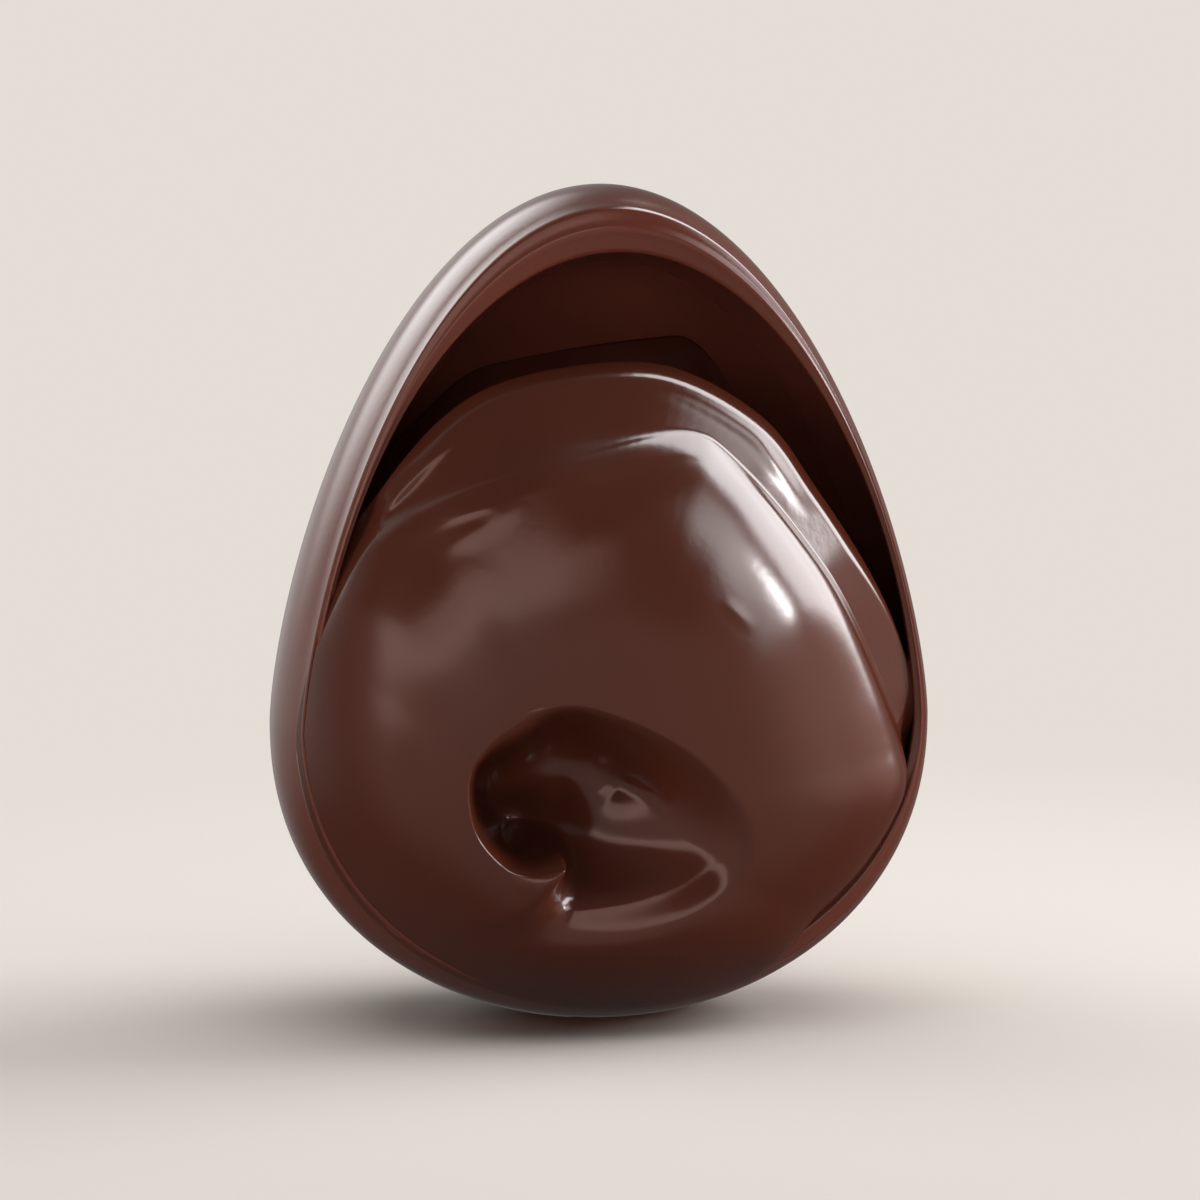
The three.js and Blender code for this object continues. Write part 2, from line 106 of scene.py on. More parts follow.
def roll_off(inside: np.ndarray, radius: np.ndarray, wall: np.ndarray) -> np.ndarray:
    """How far a rounded edge has dropped at a distance in from it.

    Args:
        inside: Distance in from the edge; negative outside it, where the wall is.
        radius: How far in the rounding reaches.
        wall: Steepness of the wall outside the edge, rise over run.

    Returns:
        The drop below the surface that the edge belongs to. The rounding runs into the
        wall at the wall's own slope.
    """
    reach = np.maximum(radius, TINY)
    inward = np.clip(1 - inside / reach, 0.0, None)
    curved = 0.5 * wall * reach * inward * inward
    straight = 0.5 * wall * reach - wall * inside
    return np.where(inside >= 0, curved, straight)


def fall_in(inside: np.ndarray, rounding: np.ndarray, width: np.ndarray) -> np.ndarray:
    """Share of a hollow's depth reached at a distance in from its edge.

    Args:
        inside: Distance in from the edge; negative outside it.
        rounding: How far in the rounding of the edge reaches.
        width: How far in the full depth is reached.

    Returns:
        A share that rises from 0 past a rounded edge and levels out at 1.
    """
    start = rounding / width
    share = np.sqrt(np.maximum(inside / width, 0) ** 2 + start**2) - start
    return 1 - (1 - np.minimum(share / (np.sqrt(1 + start**2) - start), 1)) ** 2


def smooth_step(value: np.ndarray, rounding: float) -> np.ndarray:
    """A straight ramp from 0 to 1 with both of its corners rounded.

    Args:
        value: Place along the ramp, which lies from 0 to 1.
        rounding: How far the rounding of the corners reaches.

    Returns:
        The height at that place.
    """
    square = rounding * rounding
    rounded = np.sqrt(value * value + square) - np.sqrt((value - 1) ** 2 + square)
    return 0.5 + 0.5 * rounded


def hump(distance: np.ndarray, width: np.ndarray) -> np.ndarray:
    """A soft hump: 1 at its middle, and almost gone at twice its width from there."""
    return np.exp(-((distance / width) ** 2))


def smooth_line(stops: Stops, count: int = 96) -> np.ndarray:
    """A smooth open line through a few stops.

    Args:
        stops: The places that the line passes through, as (across, up).
        count: Number of points on the finished line.

    Returns:
        The line's points, one (across, up) in each row.
    """
    knots = np.array(stops, float)
    padded = np.vstack([2 * knots[0] - knots[1], knots, 2 * knots[-1] - knots[-2]])
    place = np.linspace(0, len(knots) - 1, count)
    index = np.minimum(place.astype(int), len(knots) - 2)
    t = (place - index)[:, None]
    a, b, c, d = (padded[index + k] for k in range(4))
    bend, twist = 2 * a - 5 * b + 4 * c - d, 3 * b - a - 3 * c + d
    return 0.5 * (2 * b + (c - a) * t + bend * t**2 + twist * t**3)


def nearest_on(line: np.ndarray, x: np.ndarray, z: np.ndarray) -> tuple[np.ndarray, np.ndarray]:
    """Distance from points to a line, and how far along it their nearest place is.

    Args:
        line: The line's points, as (across, up).
        x: Where the points are across.
        z: Where the points are up.

    Returns:
        The distances, and the places along the line from 0 to 1.
    """
    best = np.full(x.shape, np.inf)
    along = np.zeros(x.shape)
    last = len(line) - 1
    for i in range(last):
        (ax, az), (bx, bz) = line[i], line[i + 1]
        dx, dz = bx - ax, bz - az
        share = np.clip(((x - ax) * dx + (z - az) * dz) / (dx * dx + dz * dz), 0.0, 1.0)
        square = (x - ax - share * dx) ** 2 + (z - az - share * dz) ** 2
        closer = square < best
        best = np.where(closer, square, best)
        along = np.where(closer, (i + share) / last, along)
    return np.sqrt(best), along


def inside_of(outline: np.ndarray, x: np.ndarray, z: np.ndarray) -> np.ndarray:
    """Whether points lie inside a closed outline.

    Args:
        outline: The outline's points, as (across, up), in order.
        x: Where the points are across.
        z: Where the points are up.

    Returns:
        True for each point inside.
    """
    inside = np.zeros(x.shape, bool)
    for (ax, az), (bx, bz) in zip(outline, np.roll(outline, 1, axis=0)):
        if az == bz:
            continue
        crosses = (az > z) != (bz > z)
        inside ^= crosses & (x < (bx - ax) * (z - az) / (bz - az) + ax)
    return inside


def reach_to(line: np.ndarray, centre: np.ndarray, directions: np.ndarray) -> np.ndarray:
    """How far a line lies from a centre, along each of several directions.

    Args:
        line: The line's points, as (across, up).
        centre: The centre, as (across, up).
        directions: Unit directions, one in each row.

    Returns:
        The nearest distance along each direction, infinite where the line isn't met.
    """
    start, end = line[:-1] - centre, line[1:] - centre
    side_start = directions[:, :1] * start[:, 1] - directions[:, 1:] * start[:, 0]
    side_end = directions[:, :1] * end[:, 1] - directions[:, 1:] * end[:, 0]
    gap = side_start - side_end
    apart = np.abs(gap) >= PARALLEL
    safe = np.where(apart, gap, 1.0)
    share = side_start / safe
    along = directions @ start.T * (1 - share) + directions @ end.T * share
    met = (side_start * side_end <= 0) & (along > 0) & apart
    return np.where(met, along, np.inf).min(axis=1)


def round_the_eye(angles: np.ndarray, stops: Stops) -> np.ndarray:
    """A value that changes smoothly with direction round the eye.

    Args:
        angles: Directions in degrees, anticlockwise from the right.
        stops: (direction, value) pairs in order of direction, from 0 to under 360.

    Returns:
        The value in each direction.
    """
    knots = np.array([*stops, (stops[0][0] + 360, stops[0][1])], float)
    widths, changes = np.diff(knots, axis=0).T
    rates = changes / widths
    agree = rates * np.roll(rates, 1) > 0
    meeting = 2 * rates * np.roll(rates, 1) / np.where(agree, rates + np.roll(rates, 1), 1.0)
    tangents = np.where(agree, meeting, 0.0)
    turned = np.mod(angles - knots[0, 0], 360) + knots[0, 0]
    index = np.clip(np.searchsorted(knots[:, 0], turned, side="right") - 1, 0, len(rates) - 1)
    share = (turned - knots[index, 0]) / widths[index]
    leaving = share * (1 - share) ** 2 * tangents[index]
    arriving = share**2 * (share - 1) * np.roll(tangents, -1)[index]
    level = mix(knots[index, 1], knots[index + 1, 1], ease(share))
    return level + widths[index] * (leaving + arriving)


# ---- The egg ----


@dataclass(frozen=True)
class HalfEgg:
    """The curved surface of half an egg, in millimetres about its widest height.

    The outline is a superellipse drawn towards a point above and filled out below.
    """

    half_width: float
    top: float
    bottom: float
    back: float
    front: float
    shift: float = 0.0
    widest: float = 14.3
    top_power: float = 1.5
    bottom_power: float = 2.2

    def grown(self, extra: float) -> "HalfEgg":
        """The same surface moved outwards everywhere.

        Args:
            extra: How far it is moved.

        Returns:
            The moved surface.
        """
        return replace(
            self,
            half_width=self.half_width + extra,
            top=self.top + extra,
            bottom=self.bottom + extra,
            back=self.back + extra,
            front=self.front + extra,
        )

    def rise(self, turn: np.ndarray) -> np.ndarray:
        """Height of the outline above the widest height.

        Args:
            turn: Angles round the egg, from the top towards the right.

        Returns:
            The heights, negative below the widest height.
        """
        up = np.cos(turn)
        above = self.top * np.abs(up) ** (2 / self.top_power)
        below = -self.bottom * np.abs(up) ** (2 / self.bottom_power)
        return np.where(up >= 0, above, below)

    def across(self, turn: np.ndarray) -> np.ndarray:
        """Place of the outline across, at an angle from the top."""
        return self.shift * np.cos(turn) + self.half_width * np.sin(turn)

    def point(self, turn: np.ndarray, swing: np.ndarray) -> np.ndarray:
        """Points of the surface.

        Args:
            turn: Angles round the egg, from the top towards the right.
            swing: Angles from the widest section, negative towards the back.

        Returns:
            The points, in millimetres, along the last axis.
        """
        turn, swing = np.broadcast_arrays(turn, swing)
        depth = np.where(swing > 0, self.front, self.back)
        x = self.across(turn) * np.cos(swing)
        y = -depth * np.sin(swing)
        z = self.widest + self.rise(turn) * np.cos(swing)
        return np.stack([x, y, z], axis=-1)

    def front_at(self, x: np.ndarray, z: np.ndarray) -> np.ndarray:
        """How far forward the front of the surface stands over places seen from the front.

        Args:
            x: Where the places are across.
            z: Where the places are up.

        Returns:
            The distance ahead of the widest section, 0 outside the outline.
        """
        above = z - self.widest
        height = np.where(above >= 0, self.top, self.bottom)
        power = np.where(above >= 0, self.top_power, self.bottom_power)
        low, high = np.zeros_like(x), np.ones_like(x)
        for _ in range(OUTLINE_HALVINGS):
            share = (low + high) / 2
            sideways = (x / (share * self.half_width)) ** 2
            over = sideways + (np.abs(above) / (share * height)) ** power > 1
            low, high = np.where(over, share, low), np.where(over, high, share)
        return self.front * np.sqrt(np.maximum(1 - high**2, 0))


@dataclass(frozen=True)
class Rim:
    """Where the shell's rim lies: almost upright above the widest height, leaning out below it."""

    forward: float = 3.5
    drop: float = 0.3
    drop_height: float = 16.7
    lean: float = math.radians(6)
    proud: float = 0.5
    steps: int = 3

    def forward_at(self, above: np.ndarray) -> np.ndarray:
        """How far forward the rim stands at a height above the widest height."""
        back = self.drop * (np.maximum(above, 0) / self.drop_height) ** 2
        return self.forward - back + math.tan(self.lean) * np.maximum(-above, 0)

    def swing(self, egg: HalfEgg, turn: np.ndarray) -> np.ndarray:
        """The swing at which the rim lies on an egg's surface, found in a few steps.

        Args:
            egg: The surface.
            turn: Angles round the egg.

        Returns:
            The swing at each angle.
        """
        rise = egg.rise(turn)
        swing = np.zeros_like(rise)
        for _ in range(self.steps):
            swing = np.arcsin(self.forward_at(rise * np.cos(swing)) / egg.front)
        return swing


OUTSIDE = HalfEgg(half_width=16.0, top=25.7, bottom=14.6, back=12.5, front=11.7)
CAVITY = HalfEgg(
    half_width=15.4,
    top=23.5,
    bottom=13.3,
    back=11.0,
    front=11.2,
    shift=0.15,
    top_power=1.72,
    bottom_power=1.9,
)
RIM = Rim()

EGG_SIZES = ("half_width", "top", "top_power", "bottom", "bottom_power", "back", "front", "shift")
RIM_SIZES = ("forward", "drop", "drop_height", "lean", "proud")


# ---- Node trees ----

# Places of the colours on a Mix node, whose sockets share their names.
FIRST_COLOUR = 6
SECOND_COLOUR = 7
MIXED_COLOUR = 2


class Field:
    """A value in a node tree that takes part in ordinary arithmetic."""

    def __init__(self, tree: bpy.types.NodeTree, socket: object) -> None:
        """Wraps an output socket or a plain number of a tree."""
        self.tree = tree
        self.socket = socket

    def _math(self, operation: str, *values: object) -> "Field":
        """A Math node's result as a new value.

        Args:
            operation: Blender's name for the operation.
            values: The node's inputs in order, each a value of the tree or a number.

        Returns:
            The result.
        """
        node = self.tree.nodes.new("ShaderNodeMath")
        node.operation = operation
        for place, value in enumerate(values):
            source = value.socket if isinstance(value, Field) else value
            if isinstance(source, bpy.types.NodeSocket):
                self.tree.links.new(source, node.inputs[place])
            else:
                node.inputs[place].default_value = float(source)
        return Field(self.tree, node.outputs[0])

    def __add__(self, other: object) -> "Field":
        """Sum."""
        return self._math("ADD", self, other)

    def __sub__(self, other: object) -> "Field":
        """Difference."""
        return self._math("SUBTRACT", self, other)

    def __rsub__(self, other: object) -> "Field":
        """Difference, with the number first."""
        return self._math("SUBTRACT", other, self)

    def __mul__(self, other: object) -> "Field":
        """Product."""
        return self._math("MULTIPLY", self, other)

    def __truediv__(self, other: object) -> "Field":
        """Quotient."""
        return self._math("DIVIDE", self, other)

    def __rtruediv__(self, other: object) -> "Field":
        """Quotient, with the number first."""
        return self._math("DIVIDE", other, self)

    def __pow__(self, other: object) -> "Field":
        """Power."""
        return self._math("POWER", self, other)

    def __neg__(self) -> "Field":
        """The same value with the other sign."""
        return self._math("MULTIPLY", self, -1.0)

    def above(self, other: object) -> "Field":
        """1 where this value is above the other, and 0 elsewhere."""
        return self._math("GREATER_THAN", self, other)

    def at_least(self, other: object) -> "Field":
        """The larger of this value and the other."""
        return self._math("MAXIMUM", self, other)

    def at_most(self, other: object) -> "Field":
        """The smaller of this value and the other."""
        return self._math("MINIMUM", self, other)

    def sin(self) -> "Field":
        """Sine of an angle in radians."""
        return self._math("SINE", self)

    def cos(self) -> "Field":
        """Cosine of an angle in radians."""
        return self._math("COSINE", self)

    def tan(self) -> "Field":
        """Tangent of an angle in radians."""
        return self._math("TANGENT", self)

    def arcsin(self) -> "Field":
        """Angle in radians that has this sine."""
        return self._math("ARCSINE", self)

    def size(self) -> "Field":
        """The value without its sign."""
        return self._math("ABSOLUTE", self)

    def mixed(self, other: object, share: object) -> "Field":
        """This value at share 0, the other at share 1."""
        return self + (other - self) * share

    def eased(self, start: float, end: float) -> "Field":
        """Smooth step of this value between two limits.

        Args:
            start: Where the step is 0. It may be the larger limit.
            end: Where the step is 1.

        Returns:
            The step, from 0 to 1.
        """
        node = self.tree.nodes.new("ShaderNodeMapRange")
        node.interpolation_type = "SMOOTHSTEP"
        node.inputs["From Min"].default_value = start
        node.inputs["From Max"].default_value = end
        self.tree.links.new(self.socket, node.inputs["Value"])
        return Field(self.tree, node.outputs["Result"])


def passed_through(
    tree: bpy.types.NodeTree, kind: str, shape: bpy.types.NodeSocket, **inputs: object
) -> bpy.types.NodeSocket:
    """Passes a shape through one more geometry node.

    Args:
        tree: The tree.
        kind: Blender's name for the node.
        shape: The shape so far.
        inputs: The node's other inputs by name, each a socket or a plain value.

    Returns:
        The shape that the node gives.
    """
    node = tree.nodes.new(kind)
    tree.links.new(shape, node.inputs["Geometry"])
    for name, value in inputs.items():
        if isinstance(value, bpy.types.NodeSocket):
            tree.links.new(value, node.inputs[name])
        else:
            node.inputs[name].default_value = value
    return node.outputs["Geometry"]


def node_object(name: str, tree: bpy.types.NodeTree, sizes: dict[str, float]) -> bpy.types.Object:
    """Runs a Geometry Nodes tree and turns its result into a plain mesh object.

    Args:
        name: Name of the new object.
        tree: The tree, with one named input for each size.
        sizes: A value for each named input.

    Returns:
        The new object, with no modifier left on it.
    """
    carrier = bpy.data.objects.new(name + "_carrier", bpy.data.meshes.new(name + "_carrier"))
    bpy.context.scene.collection.objects.link(carrier)
    modifier = carrier.modifiers.new(name, "NODES")
    modifier.node_group = tree
    for item in tree.interface.items_tree:
        if item.item_type == "SOCKET" and item.in_out == "INPUT" and item.name in sizes:
            modifier[item.identifier] = sizes[item.name]
    bpy.context.view_layer.update()
    evaluated = carrier.evaluated_get(bpy.context.evaluated_depsgraph_get())
    mesh = bpy.data.meshes.new_from_object(evaluated)
    carrier.modifiers.remove(modifier)
    bpy.data.objects.remove(carrier)
    mesh.name = name
    piece = bpy.data.objects.new(name, mesh)
    bpy.context.scene.collection.objects.link(piece)
    return piece


# ---- Finishes ----


@dataclass(frozen=True)
class Pattern:
    """A noise pattern in chocolate: its features in each metre, and where it fades in."""

    per_metre: float
    detail: float
    fade: Span = (0.0, 1.0)

    def field(self, tree: bpy.types.NodeTree, place: bpy.types.NodeSocket) -> Field:
        """The bare noise, before it fades in.

        Args:
            tree: The material's tree.
            place: The piece's own coordinates.

        Returns:
            The noise, from 0 to 1.
        """
        node = tree.nodes.new("ShaderNodeTexNoise")
        node.inputs["Scale"].default_value = self.per_metre
        node.inputs["Detail"].default_value = self.detail
        tree.links.new(place, node.inputs["Vector"])
        return Field(tree, node.outputs["Fac"])


@dataclass(frozen=True)
class Specks:
    """Tiny pale specks: a dot in the middle of a few of a pattern's cells."""

    share: float
    per_metre: float = 620.0
    dot: Span = (0.07, 0.02)
    colour: Colour = (0.34, 0.2, 0.15)
    strength: float = 0.5
    height: float = 0.01

    def field(self, tree: bpy.types.NodeTree, place: bpy.types.NodeSocket) -> Field:
        """Where the specks are.

        Args:
            tree: The material's tree.
            place: The piece's own coordinates.

        Returns:
            A value of 1 in a speck and 0 elsewhere.
        """
        cells = tree.nodes.new("ShaderNodeTexVoronoi")
        cells.inputs["Scale"].default_value = self.per_metre
        tree.links.new(place, cells.inputs["Vector"])
        split = tree.nodes.new("ShaderNodeSeparateColor")
        tree.links.new(cells.outputs["Color"], split.inputs["Color"])
        chosen = Field(tree, split.outputs["Red"]).above(1 - self.share)
        dot = Field(tree, cells.outputs["Distance"]).eased(*self.dot)
        return dot * chosen


@dataclass(frozen=True)
class ChocolateFinish:
    """Tempered chocolate: a saturated brown body under a clear, slightly uneven gloss."""

    name: str
    colour: Colour
    deep_colour: Colour
    roughness: float
    smudge: float
    grain_height: float
    specks: Specks
    refraction: float = 1.5
    mirror_level: float = 0.5
    drift: Pattern = Pattern(95.0, 3.0, (0.35, 0.75))
    drift_strength: float = 0.6
    smudges: Pattern = Pattern(210.0, 5.0, (0.45, 0.8))
    grain: Pattern = Pattern(2600.0, 2.0)

    def make(self) -> bpy.types.Material:
        """Builds the material.

        Returns:
            A material whose patterns follow the piece's own coordinates.
        """
        material = bpy.data.materials.new(self.name)
        material.use_nodes = True
        tree = material.node_tree
        shader = tree.nodes["Principled BSDF"]
        shader.inputs["IOR"].default_value = self.refraction
        shader.inputs["Specular IOR Level"].default_value = self.mirror_level
        place = tree.nodes.new("ShaderNodeTexCoord").outputs["Object"]
        tree.links.new(self._body(tree, place), shader.inputs["Base Color"])
        tree.links.new(self._gloss(tree, place), shader.inputs["Roughness"])
        tree.links.new(self._relief(tree, place), shader.inputs["Normal"])
        return material

    @staticmethod
    def _tinted(tree: bpy.types.NodeTree, share: Field, colour: Colour) -> bpy.types.Node:
        """A colour mix towards a plain colour.

        Args:
            tree: The material's tree.
            share: How much of the plain colour shows.
            colour: The plain colour.

        Returns:
            The mix node, whose first colour is still to be set.
        """
        blend = tree.nodes.new("ShaderNodeMix")
        blend.data_type = "RGBA"
        blend.inputs[SECOND_COLOUR].default_value = (*colour, 1)
        tree.links.new(share.socket, blend.inputs["Factor"])
        return blend

    def _body(self, tree: bpy.types.NodeTree, place: bpy.types.NodeSocket) -> bpy.types.NodeSocket:
        """Body colour with slow drifts towards the deeper tone, and the specks.

        Args:
            tree: The material's tree.
            place: The piece's own coordinates.

        Returns:
            The colour.
        """
        drift = self.drift.field(tree, place).eased(*self.drift.fade)
        body = self._tinted(tree, drift * self.drift_strength, self.deep_colour)
        body.inputs[FIRST_COLOUR].default_value = (*self.colour, 1)
        shown = self.specks.field(tree, place) * self.specks.strength
        speckled = self._tinted(tree, shown, self.specks.colour)
        tree.links.new(body.outputs[MIXED_COLOUR], speckled.inputs[FIRST_COLOUR])
        return speckled.outputs[MIXED_COLOUR]

    def _gloss(self, tree: bpy.types.NodeTree, place: bpy.types.NodeSocket) -> bpy.types.NodeSocket:
        """Roughness with faint smudges."""
        smudge = self.smudges.field(tree, place).eased(*self.smudges.fade)
        return (smudge * self.smudge + self.roughness).socket

    def _relief(self, tree: bpy.types.NodeTree, place: bpy.types.NodeSocket) -> bpy.types.NodeSocket:
        """Bump: a very fine grain, and the specks standing up a little.

        Args:
            tree: The material's tree.
            place: The piece's own coordinates.

        Returns:
            The bumped normal.
        """
        grain = self.grain.field(tree, place) * self.grain_height
        height = grain + self.specks.field(tree, place) * self.specks.height
        bump = tree.nodes.new("ShaderNodeBump")
        bump.inputs["Distance"].default_value = MM
        bump.inputs["Strength"].default_value = 1.0
        tree.links.new(height.socket, bump.inputs["Height"])
        return bump.outputs["Normal"]


class Finish(Enum):
    """The finishes of the praline."""

    MOULDED = ChocolateFinish(
        name="moulded_chocolate",
        colour=(0.052, 0.0127, 0.0075),
        deep_colour=(0.046, 0.011, 0.0063),
        roughness=0.17,
        smudge=0.06,
        grain_height=0.004,
        specks=Specks(share=0.012),
    )
    CREAM = ChocolateFinish(
        name="chocolate_cream",
        colour=(0.03, 0.0074, 0.004),
        deep_colour=(0.0265, 0.0064, 0.0034),
        roughness=0.15,
        smudge=0.05,
        grain_height=0.003,
        specks=Specks(share=0.02),
    )


# ---- The shell ----


class EggNodes:
    """The nodes of the shell's tree that place points on one of its two egg surfaces."""

    def __init__(self, given: Callable[[str], Field], prefix: str, turn: Field) -> None:
        """Works out the outline and the rim of the egg.

        Args:
            given: Gives the tree's input of a name.
            prefix: What the names of this egg's inputs start with.
            turn: Angle round the egg.
        """
        self.given = given
        self.prefix = prefix
        self.turn = turn
        self.up = turn.cos()
        self.rise = self._rise()
        self.rim_swing = self._rim_swing()

    def _size(self, name: str) -> Field:
        """One of this egg's sizes."""
        return self.given(f"{self.prefix} {name}")

    def _rise(self) -> Field:
        """Height of the outline above the widest height.

        Returns:
            The height, negative below the widest height.
        """
        high = self._size("Top") * self.up.size() ** (2.0 / self._size("Top Power"))
        low = -(self._size("Bottom") * self.up.size() ** (2.0 / self._size("Bottom Power")))
        return low.mixed(high, self.up.above(0.0))

    def _rim_swing(self) -> Field:
        """The swing at which the rim lies on the egg, found in a few steps.

        Returns:
            The swing.
        """
        swing = self.rise * 0.0
        for _ in range(RIM.steps):
            standing = self.rise * swing.cos()
            share = standing.at_least(0.0) / self.given("Rim Drop Height")
            back = self.given("Rim Drop") * share**2.0
            out = self.given("Rim Lean").tan() * (-standing).at_least(0.0)
            swing = ((self.given("Rim Forward") - back + out) / self._size("Front")).arcsin()
        return swing

    def point(self, swing: Field) -> list[Field]:
        """A point of the egg's surface.

        Args:
            swing: Angle from the widest section, negative towards the back.

        Returns:
            The point's x, y and z in millimetres.
        """
        across = self._size("Shift") * self.up + self._size("Half Width") * self.turn.sin()
        depth = self._size("Back").mixed(self._size("Front"), swing.above(0.0))
        return [
            across * swing.cos(),
            -(depth * swing.sin()),
            self.given("Widest Height") + self.rise * swing.cos(),
        ]


@dataclass(frozen=True)
class Shell:
    """The moulded half-egg cup: polished outside, with a soft beaded rim."""

    around: int = 320
    along: int = 150
    outer_share: float = 0.3
    crown_share: float = 0.36
    ridge_height: float = 0.16
    beads: int = 3
    overlap: float = 1e-4
    weld: float = 0.002

    def sizes(self) -> dict[str, float]:
        """The shell's sizes.

        Returns:
            Each size, by the name of the tree's input for it.
        """
        sizes = {"Widest Height": OUTSIDE.widest, "Ridge Height": self.ridge_height}
        eggs = (("Outer", OUTSIDE, EGG_SIZES), ("Inner", CAVITY, EGG_SIZES))
        for prefix, part, wanted in (*eggs, ("Rim", RIM, RIM_SIZES)):
            for size in wanted:
                sizes[f"{prefix} {size.replace('_', ' ').title()}"] = getattr(part, size)
        return sizes

    def _grid(self, tree: bpy.types.NodeTree) -> tuple[bpy.types.NodeSocket, Field, Field]:
        """The flat grid that is wrapped round the egg.

        Args:
            tree: The shell's tree.

        Returns:
            The grid, the angle round the egg, and the way along from the back to the hollow.
        """
        grid = tree.nodes.new("GeometryNodeMeshGrid")
        grid.inputs["Size X"].default_value = 1.0
        grid.inputs["Size Y"].default_value = 1.0
        grid.inputs["Vertices X"].default_value = self.around + 1
        grid.inputs["Vertices Y"].default_value = self.along + 1
        position = tree.nodes.new("GeometryNodeInputPosition")
        split = tree.nodes.new("ShaderNodeSeparateXYZ")
        tree.links.new(position.outputs[0], split.inputs[0])
        turn = (Field(tree, split.outputs["X"]) + 0.5) * FULL_TURN
        way = Field(tree, split.outputs["Y"]) + 0.5
        return grid.outputs["Mesh"], turn, way

    def _crown(self, outer: EggNodes, inner: EggNodes, way: Field) -> list[Field]:
        """The rim's rounded crown with its soft beads.

        Args:
            outer: The outside of the shell.
            inner: The inside of the shell.
            way: The way along from the back to the hollow.

        Returns:
            The x, y and z of a point of the crown.
        """
        lean = outer.given("Rim Lean")
        share = (way - self.outer_share) / (self.crown_share - self.outer_share)
        angle = share.at_least(0.0).at_most(1.0) * math.pi
        beads = (angle * (2.0 * self.beads)).cos() * outer.given("Ridge Height") * angle.sin()
        proud = outer.given("Rim Proud") * angle.sin() - beads
        crown = []
        for rim, lip in zip(outer.point(outer.rim_swing), inner.point(inner.rim_swing)):
            middle = (rim + lip) * 0.5
            crown.append(middle + (rim - middle) * angle.cos())
        crown[1] = crown[1] + proud * -lean.cos()
        crown[2] = crown[2] + proud * lean.sin()
        return crown

    def tree(self) -> bpy.types.NodeTree:
        """Builds the Geometry Nodes tree of the shell.

        A grid is wrapped round the egg: out over the back, across the rim's crown with its
        soft beads, and back inside to the bottom of the hollow.

        Returns:
            The tree, with a named input for every size.
        """
        tree = bpy.data.node_groups.new("moulded_shell", "GeometryNodeTree")
        tree.interface.new_socket("Geometry", in_out="OUTPUT", socket_type="NodeSocketGeometry")
        for size in self.sizes():
            tree.interface.new_socket(size, in_out="INPUT", socket_type="NodeSocketFloat")
        inputs = tree.nodes.new("NodeGroupInput")

        def given(name: str) -> Field:
            """The tree's input of a name."""
            return Field(tree, inputs.outputs[name])

        grid, turn, way = self._grid(tree)
        outside, inside = EggNodes(given, "Outer", turn), EggNodes(given, "Inner", turn)
        out_way = (way / self.outer_share).at_most(1.0)
        in_way = ((way - self.crown_share) / (1 - self.crown_share)).at_least(0.0)
        outer = outside.point((outside.rim_swing + QUARTER_TURN) * out_way - QUARTER_TURN)
        inner = inside.point(inside.rim_swing - (inside.rim_swing + QUARTER_TURN) * in_way)
        crown = self._crown(outside, inside, way)
        on_crown = way.above(self.outer_share + self.overlap)
        on_inner = way.above(self.crown_share + self.overlap)
        join = tree.nodes.new("ShaderNodeCombineXYZ")
        for part, stages in enumerate(zip(outer, crown, inner)):
            value = stages[0].mixed(stages[1], on_crown).mixed(stages[2], on_inner) * MM
            if part == UPWARDS:
                value = value.at_least(0.0)
            tree.links.new(value.socket, join.inputs[part])
        shape = passed_through(tree, "GeometryNodeSetPosition", grid, Position=join.outputs[0])
        shape = passed_through(tree, "GeometryNodeMergeByDistance", shape, Distance=self.weld * MM)
        shape = passed_through(tree, "GeometryNodeSetShadeSmooth", shape)
        shape = passed_through(tree, "GeometryNodeRealizeInstances", shape)
        coat = Finish.MOULDED.value.make()
        shape = passed_through(tree, "GeometryNodeSetMaterial", shape, Material=coat)
        tree.links.new(shape, tree.nodes.new("NodeGroupOutput").inputs["Geometry"])
        return tree

    def build(self) -> bpy.types.Object:
        """Makes the shell as a plain mesh, in the praline's frame."""
        return node_object("moulded_shell", self.tree(), self.sizes())


# ---- The swirl ----

# Lines of the swirl, seen from the front, as (across, up).
UPPER_FOLD = (
    (-17, 13), (-14.6, 19.5), (-13.1, 23.3), (-10.3, 27.5), (-6.8, 30.5), (-2.2, 31.7), (2.6, 31.6),
    (7.1, 29.1), (9.7, 25.7), (12.1, 22), (13.9, 18.4), (14.9, 16), (16, 13), (16.5, 9),
)
DOME_EDGE = (
    (-17.5, 14), (-13.1, 22.6), (-9.7, 25.5), (-5.8, 27.1), (-1.9, 28), (1.2, 28.6), (3.4, 28.6),
    (4.9, 27.8), (7.7, 24.8), (10.6, 20.8), (12.8, 16.4), (14.2, 12.6), (16, 8),
)
EYE_TOP = ((7, 8), (5.9, 10.2), (4.2, 12.4), (1.8, 14.4), (-1.2, 15.9), (-3.7, 16.5), (-6.3, 15.9))
EYE_SIDE = ((-6.3, 15.9), (-8.3, 13.5), (-8.2, 10.7), (-6.8, 8.8), (-5.4, 8.3), (-3.9, 8.6))
NOSE_EDGE = ((-3.9, 8.6), (-4.5, 7.7), (-5.3, 6.8), (-6.5, 6.3), (-9, 5.6))
LOWER_BAND = (
    (8, 11.5), (6.3, 9.3), (5, 7.9), (3.5, 6.7), (1.8, 5.7), (-0.5, 5), (-3.4, 4.7), (-6, 4.8),
    (-12, 5),
)
TONGUE_CREST = (
    (5.9, 10.2), (2.6, 10.2), (-0.8, 10.4), (-1.8, 11.2), (-2.3, 12.1), (-3.2, 12.4), (-4.4, 11.3),
)
BELOW_EYE = ((-15, -5), (20, -5), (20, 10))  # closes the region under the eye's edge

